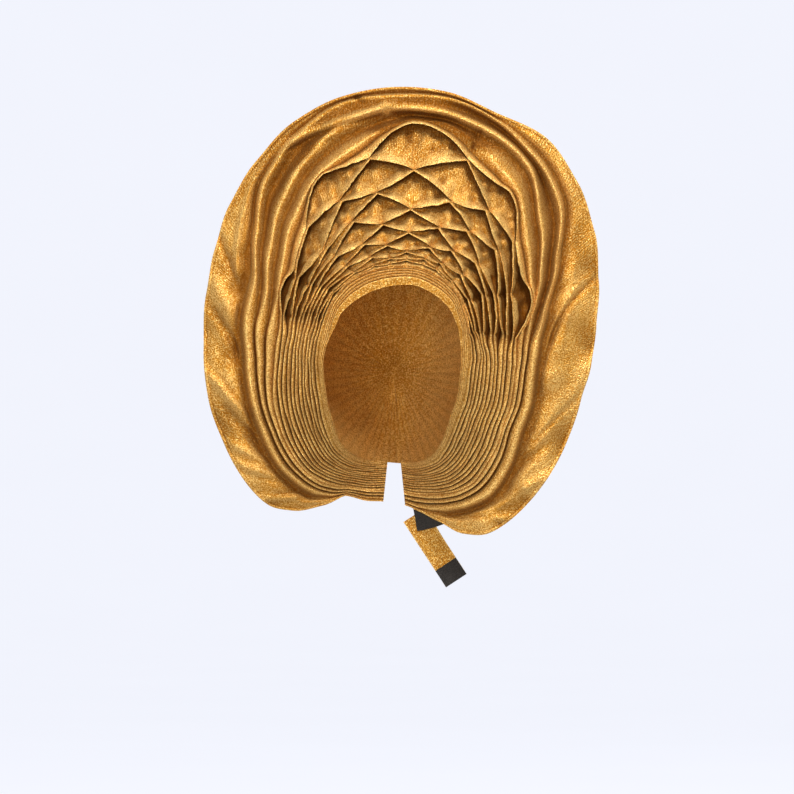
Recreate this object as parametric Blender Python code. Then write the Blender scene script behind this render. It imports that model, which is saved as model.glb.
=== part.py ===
"""Tied gele head tie, worn shape: pleated halo, plain brim and the wrap over the crown.

Every line of the halo is drawn in polar form about the face centre. The angle runs
in degrees from straight down, over the wearer's right side, the top (180) and the
left side. Reaches and depths in the tables are shares of the sizes named first.
The origin is where the crown of the head touches the inside of the crown wrap.
"""
import math
from collections import namedtuple
from functools import lru_cache

import bmesh
import bpy

# Driving sizes in metres.
HALO_REACH = 0.312      # rim above the face centre
FACE_REACH = 0.113      # edge of the face opening above the face centre
LEAN = 0.100            # unit of every depth, front to back
CROWN_DEPTH = 0.115     # half of the crown wrap, front to back
CROWN_RISE = 0.030      # how far the back of the wrap lies above the face centre
SEAM = 0.0003           # gap left where two pieces are sewn together
BAND_CLOTH = 0.0020
PLEAT_CLOTH = 0.0026    # measured front to back, thinner across a steep fold
FOLD_CLOTH = 0.0022
BRIM_CLOTH = 0.0018
WRAP_CLOTH = 0.0018
TACK_GAP = 0.0026       # between two crests where a tack holds them together
TACK_PULL = 0.0015      # how far a tack draws the crests back
CELL_DEPTH = 0.014      # deepest pocket of the honeycomb
CREST_STEP = 0.0012     # least distance between the crests of two pleats
FOLD_STEP = 0.0020      # least distance between the crests of two plain folds
SEAM_DEPTH = 0.007      # how deep a seam lies in its valley
FOLD_DEPTH = 0.008      # valley between two plain folds
DEEP_FOLD = 0.007       # what the valley on the wearer's left adds to that
MID_SETBACK = 0.0035    # how far the innermost plain fold lies behind its neighbours
BRIM_SETBACK = 0.0025   # least depth of the brim's seam
BRIM_RUN = 0.030        # width of brim from which its creases have their full height
BRIM_FOLD = 0.010       # unit of the creases' heights and half widths
BAND_SWELL = 0.0012     # how far the brow band swells forward between its edges
WRAP_INSET = 0.003      # how far outside the face edge the crown wrap begins
STRAP_WIDTH = 0.025
STRAP_WAVE = 0.003      # how far the hanging strap waves
STRAP_CLOTH = 0.0016
TAPE_CLOTH = 0.0012
TAPE_SEAT = 0.0046      # how far behind the smooth halo and its cloth the tape is sewn

Station = namedtuple("Station", "angle face band crest mid one two rim face_y rim_y")
# face and band are shares of FACE_REACH, crest to rim shares of HALO_REACH, the
# depths shares of LEAN. crest is the outermost tacked crest, mid, one and two the
# plain folds outside it.
STATIONS = [
    Station(6, 0.540, 0.575, 0.295, 0.303, 0.312, 0.324, 0.333, 0.72, 0.74),
    Station(16, 0.566, 0.602, 0.304, 0.311, 0.321, 0.332, 0.340, 0.66, 0.70),
    Station(26, 0.593, 0.628, 0.316, 0.323, 0.331, 0.338, 0.345, 0.52, 0.58),
    Station(34, 0.602, 0.646, 0.337, 0.346, 0.359, 0.372, 0.415, 0.34, 0.46),
    Station(42, 0.611, 0.655, 0.353, 0.365, 0.378, 0.394, 0.484, 0.16, 0.34),
    Station(50, 0.611, 0.655, 0.365, 0.375, 0.388, 0.407, 0.530, 0.02, 0.26),
    Station(60, 0.593, 0.637, 0.369, 0.381, 0.397, 0.420, 0.547, -0.12, 0.18),
    Station(75, 0.575, 0.619, 0.375, 0.388, 0.404, 0.430, 0.566, -0.28, 0.12),
    Station(90, 0.593, 0.628, 0.385, 0.404, 0.423, 0.452, 0.598, -0.42, 0.08),
    Station(105, 0.637, 0.673, 0.397, 0.420, 0.449, 0.484, 0.635, -0.52, 0.04),
    Station(120, 0.717, 0.761, 0.423, 0.458, 0.500, 0.545, 0.696, -0.62, -0.03),
    Station(130, 0.765, 0.832, 0.462, 0.490, 0.532, 0.583, 0.752, -0.67, -0.08),
    Station(140, 0.814, 0.920, 0.513, 0.554, 0.619, 0.686, 0.820, -0.72, -0.14),
    Station(150, 0.894, 1.027, 0.596, 0.650, 0.724, 0.820, 0.884, -0.76, -0.20),
    Station(160, 0.938, 1.106, 0.718, 0.744, 0.820, 0.904, 0.946, -0.79, -0.26),
    Station(170, 0.973, 1.142, 0.769, 0.808, 0.900, 0.962, 0.984, -0.81, -0.31),
    Station(180, 1.000, 1.159, 0.853, 0.878, 0.929, 0.974, 1.000, -0.82, -0.34),
    Station(190, 1.018, 1.168, 0.869, 0.894, 0.929, 0.978, 0.999, -0.82, -0.35),
    Station(200, 0.991, 1.142, 0.782, 0.840, 0.907, 0.955, 0.974, -0.81, -0.33),
    Station(210, 0.942, 1.080, 0.728, 0.779, 0.862, 0.901, 0.970, -0.78, -0.29),
    Station(220, 0.858, 0.965, 0.622, 0.660, 0.734, 0.824, 0.913, -0.74, -0.23),
    Station(230, 0.761, 0.850, 0.548, 0.574, 0.609, 0.679, 0.840, -0.69, -0.16),
    Station(240, 0.681, 0.765, 0.458, 0.474, 0.503, 0.551, 0.760, -0.63, -0.10),
    Station(250, 0.619, 0.681, 0.417, 0.433, 0.452, 0.484, 0.692, -0.57, -0.05),
    Station(260, 0.580, 0.637, 0.391, 0.404, 0.420, 0.449, 0.644, -0.50, 0.00),
    Station(270, 0.552, 0.606, 0.378, 0.389, 0.404, 0.434, 0.602, -0.42, 0.05),
    Station(285, 0.522, 0.575, 0.359, 0.369, 0.381, 0.413, 0.572, -0.30, 0.11),
    Station(300, 0.535, 0.584, 0.362, 0.375, 0.391, 0.423, 0.553, -0.15, 0.17),
    Station(315, 0.575, 0.619, 0.369, 0.381, 0.397, 0.430, 0.542, 0.04, 0.24),
    Station(325, 0.602, 0.646, 0.359, 0.372, 0.388, 0.413, 0.529, 0.20, 0.32),
    Station(333, 0.602, 0.637, 0.343, 0.356, 0.372, 0.394, 0.487, 0.34, 0.42),
    Station(340, 0.593, 0.628, 0.327, 0.340, 0.356, 0.378, 0.420, 0.48, 0.54),
    Station(347, 0.575, 0.611, 0.314, 0.324, 0.340, 0.359, 0.375, 0.62, 0.66),
    Station(354, 0.549, 0.584, 0.301, 0.311, 0.324, 0.337, 0.346, 0.72, 0.74),
]

Tack = namedtuple("Tack", "outer inner first second third fourth fifth free")
# One row for each line of tacks across the honeycomb: its angle at the outer and
# the inner end, its tacks from outside in and the outermost crest where it is
# free, in shares of HALO_REACH. Even rows tack crests 0-1, 2-3 and on, odd rows
# crests 1-2, 3-4 and on.
TACKS = [
    Tack(127.4, 138.6, 0.448, 0.416, 0.397, 0.381, 0.363, 0.0),
    Tack(140.4, 150.3, 0.496, 0.452, 0.429, 0.413, 0.391, 0.519),
    Tack(153.0, 163.0, 0.615, 0.526, 0.492, 0.450, 0.424, 0.0),
    Tack(164.0, 171.8, 0.655, 0.582, 0.503, 0.458, 0.432, 0.756),
    Tack(174.1, 178.4, 0.773, 0.660, 0.559, 0.491, 0.449, 0.0),
    Tack(185.0, 185.0, 0.734, 0.608, 0.533, 0.473, 0.446, 0.885),
    Tack(197.3, 192.2, 0.799, 0.655, 0.565, 0.497, 0.458, 0.0),
    Tack(207.5, 198.0, 0.672, 0.585, 0.509, 0.459, 0.436, 0.740),
    Tack(217.6, 205.6, 0.631, 0.577, 0.506, 0.452, 0.420, 0.0),
    Tack(229.0, 215.5, 0.497, 0.465, 0.438, 0.397, 0.376, 0.560),
    Tack(243.4, 228.8, 0.430, 0.408, 0.378, 0.351, 0.335, 0.0),
]
CRESTS = 12             # pleats between the brow band and the plain folds
TACKED = 10             # of which the outer ones are tacked
FINE_CRESTS = 4         # outermost pleats that have a row of points more
CELL_BULGE = (0.018, -0.006)    # how far a crest bows out in mid cell: outermost, others
HONEYCOMB = (118.0, 252.0)      # degrees where the gathered sides begin to open into cells
GATHERED = (60.0, 310.0)        # degrees beyond which the columns run straight outward
FADE = 14.0                     # degrees over which one form passes into the next
DEEP_SIDE = (194.0, 262.0)      # degrees where the outer valley is deep
# Where each crest of the gathered sides lies between band (0) and outermost (1).
CREST_SHARE = [1.0, 0.90, 0.80, 0.71, 0.62, 0.54, 0.46, 0.38, 0.305, 0.23, 0.155, 0.08]
LEFT_ANGLES = [6, 13, 20, 28, 36, 45, 54, 64, 75, 86, 97, 108, 118]
RIGHT_ANGLES = [252, 262, 272, 283, 294, 305, 315, 324, 332, 340, 347, 354]

BRIM_ROWS = (0.0, 0.13, 0.27, 0.42, 0.57, 0.72, 0.87, 1.0)
BrimFold = namedtuple("BrimFold", "angle_a reach_a angle_b reach_b height width")
# Creases of the plain brim: both ends in degrees and shares of HALO_REACH, height
# and half width in shares of BRIM_FOLD. A negative height is a hollow.
BRIM_FOLDS = [
    BrimFold(142, 0.79, 112, 0.530, 0.5, 1.2),
    BrimFold(100, 0.610, 62, 0.460, 0.5, 1.2),
    BrimFold(72, 0.540, 48, 0.440, 0.4, 1.0),
    BrimFold(206, 0.955, 240, 0.640, 0.4, 1.2),
    BrimFold(268, 0.590, 300, 0.450, 0.5, 1.1),
    BrimFold(296, 0.540, 312, 0.450, -0.4, 1.2),
    BrimFold(298, 0.555, 326, 0.450, 0.4, 1.0),
]

# The tape behind the nape: degrees across it and shares of HALO_REACH along it.
PAD_ANGLES = (338.5, 341.5, 344.5, 347.5, 350.0)
PAD_REACHES = (0.345, 0.372, 0.40, 0.436)
# The strap's ends, x and height over the face centre, in shares of HALO_REACH.
STRAP_TOP = (0.064, -0.378)
STRAP_TIP = (0.2035, -0.591)
STRAP_STEPS = 8
STRAP_ACROSS = (-0.5, -0.17, 0.17, 0.5)
STRAP_HELD = 0.42       # share of HALO_REACH up to which the strap follows the halo
STRAP_FREE = 0.80       # depth of its free end, a share of LEAN
WRAP_ROWS = 7
GOLD = (0.58, 0.33, 0.07)
DARK = (0.03, 0.025, 0.02)


def column(name, angle):
    """One column of STATIONS at an angle, by a cubic that wraps round."""
    rows = STATIONS
    count = len(rows)
    angle = angle % 360.0
    after = 0
    while after < count and rows[after].angle <= angle:
        after += 1

    def knot(index):
        turn, place = divmod(index, count)
        return rows[place].angle + 360.0 * turn, getattr(rows[place], name)

    a0, v0 = knot(after - 2)
    a1, v1 = knot(after - 1)
    a2, v2 = knot(after)
    a3, v3 = knot(after + 1)
    span = a2 - a1
    share = (angle - a1) / span
    slope_1 = 0.8 * (v2 - v0) / (a2 - a0) * span
    slope_2 = 0.8 * (v3 - v1) / (a3 - a1) * span
    square = share * share
    cube = square * share
    return ((2 * cube - 3 * square + 1) * v1 + (cube - 2 * square + share) * slope_1
            + (3 * square - 2 * cube) * v2 + (cube - square) * slope_2)


def face_reach(angle):
    return FACE_REACH * column("face", angle)


def band_reach(angle):
    return FACE_REACH * column("band", angle)


def halo_reach(name, angle):
    return HALO_REACH * column(name, angle)


def lie(angle, reach):
    """Depth of the smooth halo, before any fold is put on it."""
    inner = face_reach(angle)
    outer = halo_reach("rim", angle)
    share = (reach - inner) / (outer - inner)
    front = column("face_y", angle)
    back = column("rim_y", angle)
    return LEAN * (front + (back - front) * share)


def smooth(share):
    share = min(1.0, max(0.0, share))
    return share * share * (3.0 - 2.0 * share)


def top_share(angle):
    """1 over the honeycomb, 0 at the gathered sides."""
    return smooth((angle - HONEYCOMB[0]) / FADE) * smooth((HONEYCOMB[1] - angle) / FADE)


def crest_angle(columns, place, crest):
    """Angle of a crest on one column: the lines of tacks draw together inward."""
    outer, inner = columns[place]
    share = min(1.0, max(0.0, (crest - 0.5) / (TACKED - 2.0)))
    return outer + (inner - outer) * share


def tacked_reach(row, crest):
    """Reach of a crest on a line of tacks, or None where the line leaves it free."""
    tack = TACKS[row]
    pair = (crest - row % 2) // 2
    lower = (crest - row % 2) % 2 == 1
    if crest >= TACKED + row % 2:
        return None
    if pair < 0:
        return HALO_REACH * tack.free
    middle = HALO_REACH * tack[2 + pair]
    return middle + (-0.5 if lower else 0.5) * TACK_GAP


def gathered_reach(angle, crest):
    inner = band_reach(angle)
    outer = halo_reach("crest", angle)
    return inner + (outer - inner) * CREST_SHARE[crest]


def column_places():
    """Every column as (angle of its outer end, of its inner end, line of tacks).

    The line is a whole number on a line of tacks, a half one between two lines and
    None on the gathered sides, whose columns turn outward towards the first line.
    """
    first = TACKS[0]
    last = TACKS[-1]
    found = []
    for angle in LEFT_ANGLES:
        near = smooth((angle - GATHERED[0]) / (first.outer - GATHERED[0]))
        found.append((angle, angle + (first.inner - first.outer) * near, None))
    for row, tack in enumerate(TACKS):
        found.append((tack.outer, tack.inner, row))
        if tack is not last:
            ahead = TACKS[row + 1]
            found.append((0.5 * (tack.outer + ahead.outer), 0.5 * (tack.inner + ahead.inner),
                          row + 0.5))
    for angle in RIGHT_ANGLES:
        near = smooth((GATHERED[1] - angle) / (GATHERED[1] - last.outer))
        found.append((angle, angle + (last.inner - last.outer) * near, None))
    return found


def crest_reach(angle, row, crest):
    """Reach of one crest on one column, before its neighbours push it outward."""
    if row is None:
        return gathered_reach(angle, crest)
    before = tacked_reach(int(row), crest)
    if row == int(row) and before is not None:
        return before
    after = tacked_reach(math.ceil(row), crest)
    if before is not None and after is not None:
        return 0.5 * (before + after) + CELL_BULGE[min(crest, 1)] * HALO_REACH
    left = (CRESTS - crest) / (CRESTS - TACKED + 1.0)
    inner = band_reach(angle)
    return inner + (tacked_reach(int(row), TACKED - 1) - TACK_GAP - inner) * left


def pleat_columns():
    """Columns of the pleats: (their angles, then reach of every crest and pull of the tacks)."""
    places = column_places()
    angles = [(outer, inner) for outer, inner, row in places]
    columns = []
    for place, (outer, inner, row) in enumerate(places):
        reaches = [0.0] * CRESTS
        floor = band_reach(crest_angle(angles, place, CRESTS - 1)) + CREST_STEP
        for crest in range(CRESTS - 1, -1, -1):
            angle = crest_angle(angles, place, crest)
            reaches[crest] = max(crest_reach(angle, row, crest), floor)
            floor = reaches[crest] + CREST_STEP
        pull = TACK_PULL if row is not None and row == int(row) else 0.0
        columns.append((reaches, pull))
    return angles, columns


def point(angle, reach, depth):
    """World point of a polar place, with the origin moved to the head seat."""
    turn = math.radians(angle)
    return (-reach * math.sin(turn), depth, -reach * math.cos(turn) - seat_height())


def fold_rows(inner, outer, top, fine):
    """Points across one pleat from its inner crest to just before its outer one.

    At the sides the cloth drops behind the inner crest and climbs to the outer
    one. Over the honeycomb it is the other way round.
    """
    angle_in, reach_in, depth_in = inner
    angle_out, reach_out, depth_out = outer
    gap = reach_out - reach_in
    depth = min(CELL_DEPTH, 0.7 * gap)
    if fine:
        steps = [(0.26 + 0.12 * top, 1.0 - 0.38 * top), (0.62 + 0.14 * top, 0.45 + 0.55 * top)]
    else:
        steps = [(0.32 + 0.34 * top, 1.0)]
    points = [(angle_in, reach_in, depth_in)]
    for share, sink in steps:
        angle = angle_in + (angle_out - angle_in) * share
        reach = reach_in + gap * share
        base = depth_in + (depth_out - depth_in) * share
        points.append((angle, reach, base + depth * sink))
    return points


def seam_place(angle):
    """Reach and depth of the valley between the outermost crest and the folds."""
    inner = halo_reach("crest", angle)
    outer = halo_reach("mid", angle)
    share = 0.35 + 0.2 * top_share(angle)
    reach = inner + (outer - inner) * share
    return reach, lie(angle, reach) + min(SEAM_DEPTH, 0.7 * (outer - inner))


def brim_seam(angle):
    """Reach and depth of the valley between the plain folds and the brim."""
    inner = halo_reach("two", angle)
    outer = halo_reach("rim", angle)
    reach = inner + min(SEAM_DEPTH, 0.3 * (outer - inner))
    wide = smooth((outer - inner - FOLD_DEPTH) / BRIM_RUN)
    return reach, lie(angle, reach) + BRIM_SETBACK + (SEAM_DEPTH - BRIM_SETBACK) * wide


def pleats_grid():
    angles, columns = pleat_columns()
    grid = []
    for place, (reaches, pull) in enumerate(columns):
        outer_angle = angles[place][0]
        top = top_share(outer_angle)
        line = []
        crest_points = []
        for crest in range(CRESTS):
            angle = crest_angle(angles, place, crest)
            reach = reaches[crest]
            held = pull if crest < TACKED else 0.0
            crest_points.append((angle, reach, lie(angle, reach) + held))
        last_angle = crest_points[-1][0]
        start = band_reach(last_angle) + 0.5 * SEAM
        line.append((last_angle, start, lie(last_angle, start) + BAND_SWELL))
        for crest in range(CRESTS - 1, 0, -1):
            fine = crest <= FINE_CRESTS
            line += fold_rows(crest_points[crest], crest_points[crest - 1], top, fine)
        line.append(crest_points[0])
        reach, depth = seams(outer_angle, reaches[0])[0]
        line.append((outer_angle, reach - 0.5 * SEAM, depth))
        grid.append(line)
    return grid


def seams(angle, outermost):
    """Both seams of the plain folds at an angle, and the reach of each fold's crest."""
    start, depth = seam_place(angle)
    start = max(start, outermost + CREST_STEP)
    crests = [max(halo_reach("mid", angle), start + CREST_STEP)]
    crests.append(max(halo_reach("one", angle), crests[0] + FOLD_STEP))
    crests.append(max(halo_reach("two", angle), crests[1] + FOLD_STEP))
    end, end_depth = brim_seam(angle)
    end = max(end, crests[2] + CREST_STEP)
    return (start, depth), crests, (end, end_depth)


def folds_grid():
    """The plain folds outside the honeycomb, on the same columns as the pleats."""
    angles, columns = pleat_columns()
    grid = []
    for (angle, inner_angle), (reaches, pull) in zip(angles, columns):
        (start, depth), crests, (end, end_depth) = seams(angle, reaches[0])
        setback = MID_SETBACK * smooth((angle - DEEP_SIDE[0] + 36.0) / FADE)
        deep = smooth((angle - DEEP_SIDE[0]) / FADE) * smooth((DEEP_SIDE[1] - angle) / FADE)
        line = [(angle, start + 0.5 * SEAM, depth)]
        line.append((angle, crests[0], lie(angle, crests[0]) + setback))
        for inner, outer, extra in ((0, 1, 0.0), (1, 2, DEEP_FOLD * deep)):
            gap = crests[outer] - crests[inner]
            sink = min(FOLD_DEPTH + extra, 0.55 * gap)
            for share, part in ((0.30, 1.0), (0.65, 0.55)):
                reach = crests[inner] + gap * share
                line.append((angle, reach, lie(angle, reach) + sink * part))
            line.append((angle, crests[outer], lie(angle, crests[outer])))
        line.append((angle, end - 0.5 * SEAM, end_depth))
        grid.append(line)
    return grid


def crease(fold, x, z):
    """Relief of one brim crease at a place, fading at both of its ends."""
    ends = []
    for angle, share in ((fold.angle_a, fold.reach_a), (fold.angle_b, fold.reach_b)):
        turn = math.radians(angle)
        reach = HALO_REACH * share
        ends.append((-reach * math.sin(turn), -reach * math.cos(turn)))
    run_x = ends[1][0] - ends[0][0]
    run_z = ends[1][1] - ends[0][1]
    length = math.hypot(run_x, run_z)
    along = ((x - ends[0][0]) * run_x + (z - ends[0][1]) * run_z) / (length * length)
    off = ((x - ends[0][0]) * run_z - (z - ends[0][1]) * run_x) / length
    fade = smooth((along + 0.15) / 0.3) * smooth((1.15 - along) / 0.3)
    return BRIM_FOLD * fold.height * fade * math.exp(-(off / (BRIM_FOLD * fold.width)) ** 2)


def brim_line(angle, outermost):
    """Points across the brim at an angle, from its seam to the rim."""
    seam, sunk = seams(angle, outermost)[2]
    seam += 0.5 * SEAM
    rim = max(halo_reach("rim", angle), seam + FOLD_STEP)
    line = []
    for row, share in enumerate(BRIM_ROWS):
        reach = seam + (rim - seam) * share
        sink = (sunk - lie(angle, seam)) * (1.0 - smooth(share / 0.4))
        turn = math.radians(angle)
        x = -reach * math.sin(turn)
        z = -reach * math.cos(turn)
        relief = 0.0
        if row > 0:
            for fold in BRIM_FOLDS:
                relief += crease(fold, x, z)
        relief *= min(1.0, (rim - seam) / BRIM_RUN)
        line.append(point(angle, reach, lie(angle, reach) + sink - relief))
    return line


def brim_points():
    """World points of the brim: a line on every column and one between each two.

    The line between starts in the middle of the straight seam edge, so the brim and
    the folds keep their gap.
    """
    angles, columns = pleat_columns()
    lines = []
    for (angle, inner_angle), (reaches, pull) in zip(angles, columns):
        lines.append(brim_line(angle, reaches[0]))
    grid = []
    for place in range(len(lines) - 1):
        grid.append(lines[place])
        angle = 0.5 * (angles[place][0] + angles[place + 1][0])
        outermost = 0.5 * (columns[place][0][0] + columns[place + 1][0][0])
        middle = brim_line(angle, outermost)
        before = lines[place][0]
        after = lines[place + 1][0]
        middle[0] = tuple(0.5 * (one + two) for one, two in zip(before, after))
        grid.append(middle)
    grid.append(lines[-1])
    return grid


def band_grid():
    angles, columns = pleat_columns()
    grid = []
    for place in range(len(columns)):
        line = []
        angle = crest_angle(angles, place, CRESTS - 1)
        inner = face_reach(angle)
        outer = band_reach(angle) - 0.5 * SEAM
        for share, swell in ((0.0, 0.0), (0.35, 1.0), (0.7, 0.7), (1.0, -1.0)):
            reach = inner + (outer - inner) * share
            line.append((angle, reach, lie(angle, reach) - BAND_SWELL * swell))
        grid.append(line)
    return grid


def wrap_start(angle):
    """Reach and depth where the crown wrap meets the back of the brow band."""
    reach = face_reach(angle) + WRAP_INSET
    return reach, lie(angle, reach) + BAND_CLOTH + SEAM


def wrap_point(angle, share, cloth):
    """Place on the crown wrap: share 0 at the brow band, 1 at the back."""
    reach, depth = wrap_start(angle)
    begin = math.asin(depth / CROWN_DEPTH)
    widest = reach / math.cos(begin)
    turn = begin + (0.5 * math.pi - begin) * share
    out = (widest - cloth) * math.cos(turn)
    back = max((CROWN_DEPTH - cloth) * math.sin(turn), depth)
    rise = CROWN_RISE * share * share
    place = math.radians(angle)
    return (-out * math.sin(place), back, rise - out * math.cos(place))


@lru_cache(maxsize=1)
def seat_height():
    """Height of the wrap's inside over the face centre, straight above the origin."""
    reach, depth = wrap_start(180.0)
    begin = math.asin(depth / CROWN_DEPTH)
    share = -begin / (0.5 * math.pi - begin)
    return wrap_point(180.0, share, WRAP_CLOTH)[2]


def finish(name, verts, faces, colour, rough):
    """Makes one node from its faces, with outward normals and its own material."""
    mesh = bpy.data.meshes.new(name)
    mesh.from_pydata(verts, [], faces)
    body = bpy.data.objects.new(name, mesh)
    bpy.context.scene.collection.objects.link(body)
    work = bmesh.new()
    work.from_mesh(mesh)
    bmesh.ops.triangulate(work, faces=work.faces[:])
    bmesh.ops.recalc_face_normals(work, faces=work.faces[:])
    work.to_mesh(mesh)
    work.free()
    material = bpy.data.materials.new(name + "_cloth")
    material.use_nodes = True
    shader = material.node_tree.nodes["Principled BSDF"]
    shader.inputs["Base Color"].default_value = (*colour, 1.0)
    shader.inputs["Roughness"].default_value = rough
    mesh.materials.append(material)
    return body


def shell(name, front, back, colour, rough):
    """Closed body between two grids of world points of the same size."""
    wide = len(front)
    tall = len(front[0])
    verts = [spot for line in front for spot in line]
    verts += [spot for line in back for spot in line]
    behind = wide * tall
    faces = []
    for a in range(wide - 1):
        for b in range(tall - 1):
            at = a * tall + b
            quad = (at, at + 1, at + tall + 1, at + tall)
            faces.append(quad)
            faces.append(tuple(behind + corner for corner in reversed(quad)))
    edge = [(a, 0) for a in range(wide)]
    edge += [(wide - 1, b) for b in range(1, tall)]
    edge += [(a, tall - 1) for a in range(wide - 2, -1, -1)]
    edge += [(0, b) for b in range(tall - 2, 0, -1)]
    ring = [a * tall + b for a, b in edge]
    for index, first in enumerate(ring):
        second = ring[(index + 1) % len(ring)]
        faces.append((first, second, behind + second, behind + first))
    return finish(name, verts, faces, colour, rough)


def cloth_piece(name, grid, cloth, colour, rough=0.45):
    """A shell from a polar grid: the back is the front moved back by the cloth."""
    front = [[point(*spot) for spot in line] for line in grid]
    back = [[(x, y + cloth, z) for x, y, z in line] for line in front]
    return shell(name, front, back, colour, rough)


def crown_wrap():
    """Plain cloth over the crown and the back of the head, hollow for the head."""
    angles = pleat_columns()[0]
    ring = [crest_angle(angles, place, CRESTS - 1) for place in range(len(angles))]
    around = len(ring)
    along = WRAP_ROWS
    verts = []
    for cloth in (0.0, WRAP_CLOTH):
        for row in range(along):
            share = row / along
            for angle in ring:
                x, y, z = wrap_point(angle, share, cloth)
                verts.append((x, y, z - seat_height()))
        x, y, z = wrap_point(0.0, 1.0, cloth)
        verts.append((0.0, y, z - seat_height()))
    behind = around * along + 1
    faces = []
    for side in (0, behind):
        for row in range(along - 1):
            for index in range(around):
                after = (index + 1) % around
                low = side + row * around
                faces.append((low + index, low + after, low + around + after, low + around + index))
        low = side + (along - 1) * around
        for index in range(around):
            faces.append((low + index, low + (index + 1) % around, side + around * along))
    for index in range(around):
        after = (index + 1) % around
        faces.append((index, after, behind + after, behind + index))
    return finish("crown_wrap", verts, faces, GOLD, 0.5)


def nape_pad():
    """Dark loop tape behind the end of the pleats at the wearer's left nape."""
    grid = []
    for angle in PAD_ANGLES:
        line = []
        for share in PAD_REACHES:
            reach = HALO_REACH * share
            line.append((angle, reach, lie(angle, reach) + PLEAT_CLOTH + TAPE_SEAT))
        grid.append(line)
    return cloth_piece("nape_pad", grid, TAPE_CLOTH, DARK, 0.9)


def strap_lines():
    """Rows of the tie strap across its width: it hangs free from the nape."""
    top = [HALO_REACH * share for share in STRAP_TOP]
    tip = [HALO_REACH * share for share in STRAP_TIP]
    run = (tip[0] - top[0], tip[1] - top[1])
    length = math.hypot(*run)
    side = (run[1] / length, -run[0] / length)
    rows = []
    for step in range(STRAP_STEPS + 1):
        share = step / STRAP_STEPS
        line = []
        for across in STRAP_ACROSS:
            x = top[0] + run[0] * share + side[0] * STRAP_WIDTH * across
            z = top[1] + run[1] * share + side[1] * STRAP_WIDTH * across
            angle = math.degrees(math.atan2(-x, -z)) % 360.0
            reach = min(math.hypot(x, z), STRAP_HELD * HALO_REACH)
            held = lie(angle, reach) + PLEAT_CLOTH + TAPE_SEAT + TAPE_CLOTH + SEAM
            free = STRAP_FREE * LEAN + STRAP_WAVE * math.sin(3.0 * share)
            depth = held + (free - held) * smooth(share / 0.8)
            line.append((x, depth, z - seat_height()))
        rows.append(line)
    return rows


def tie_strap():
    front = strap_lines()
    back = [[(x, y + STRAP_CLOTH, z) for x, y, z in line] for line in front]
    return shell("tie_strap", front, back, GOLD, 0.45)


def strap_tab():
    """Dark hook tape on the front of the strap's tip."""
    rows = strap_lines()[-3:]
    back = [[(x, y - SEAM, z) for x, y, z in line] for line in rows]
    front = [[(x, y - SEAM - TAPE_CLOTH, z) for x, y, z in line] for line in rows]
    return shell("strap_tab", front, back, DARK, 0.9)


def main():
    for body in list(bpy.data.objects):
        bpy.data.objects.remove(body, do_unlink=True)
    cloth_piece("brow_band", band_grid(), BAND_CLOTH, GOLD)
    cloth_piece("pleats", pleats_grid(), PLEAT_CLOTH, GOLD)
    cloth_piece("outer_folds", folds_grid(), FOLD_CLOTH, GOLD)
    front = brim_points()
    back = [[(x, y + BRIM_CLOTH, z) for x, y, z in line] for line in front]
    shell("brim", front, back, GOLD, 0.45)
    crown_wrap()
    nape_pad()
    tie_strap()
    strap_tab()


main()
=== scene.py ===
"""Looks of the tied gele head tie: pleated gold halo, brow band, crown wrap and tie strap.

Each sheet of cloth starts as a grid whose points are laid out by the same polar rules
as the solids it stands for: degrees from straight down over the wearer's right side,
reach from the face centre and depth from front to back. All lengths are in metres.
Painted light of 1 is a painted highlight on an edge that catches the light, and -1 is painted shade at the
bottom of a fold.
"""
from __future__ import annotations

import logging
import math
from collections.abc import Iterable
from dataclasses import dataclass, field
from enum import Enum, IntEnum

import bpy
import numpy as np
from bpy.types import Material, Node, NodeTree, Object
from bpy.types import NodeSocket as Socket
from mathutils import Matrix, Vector

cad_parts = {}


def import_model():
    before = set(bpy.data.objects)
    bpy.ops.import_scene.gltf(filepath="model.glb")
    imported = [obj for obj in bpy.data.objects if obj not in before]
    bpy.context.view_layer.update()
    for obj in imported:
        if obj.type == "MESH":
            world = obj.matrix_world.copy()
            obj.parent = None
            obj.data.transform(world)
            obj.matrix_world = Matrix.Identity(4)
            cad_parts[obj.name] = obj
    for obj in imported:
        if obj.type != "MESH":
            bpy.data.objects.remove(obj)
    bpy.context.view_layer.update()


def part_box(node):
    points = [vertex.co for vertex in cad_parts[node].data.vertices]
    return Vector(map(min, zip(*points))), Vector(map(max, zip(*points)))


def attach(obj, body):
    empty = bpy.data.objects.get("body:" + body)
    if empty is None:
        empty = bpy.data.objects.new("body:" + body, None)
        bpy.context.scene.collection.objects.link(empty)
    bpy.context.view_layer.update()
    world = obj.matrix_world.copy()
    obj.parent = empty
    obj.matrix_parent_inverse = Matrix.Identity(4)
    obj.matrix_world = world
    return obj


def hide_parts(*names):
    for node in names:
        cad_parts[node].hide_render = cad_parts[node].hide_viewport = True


LOG = logging.getLogger("gele")
PHOTO_SIDE = 0.794      # width and height that the photograph's frame takes in
MILLIMETRE = 0.001
FULL_TURN = 360.0

Array = np.ndarray
Value = Array | float
Line = tuple[Array, Array, Array]           # angle, reach and depth of a crest
Rows = list[tuple[Value, ...]]              # values of each row on every column
Span = tuple[float, float, float]           # start and end angle, degrees of fade
Colour = tuple[float, float, float]
Inputs = dict[str | int, object]            # a socket or a value for each input of a node


class Slot(Enum):
    """Material slots."""

    GOLD = "gold_cloth"
    TAPE = "dark_tape"


class Held(Enum):
    """How a sheet of cloth is held."""

    GATHERED = "gathered"
    FOLDED = "folded"
    STRETCHED = "stretched"
    HUNG = "hung"


class Key(IntEnum):
    """Key lines of the plain folds and the brim, from inside out."""

    SEAM = 0
    MID = 1
    ONE = 2
    TWO = 3
    VALLEY = 4
    RIM = 5


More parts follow.
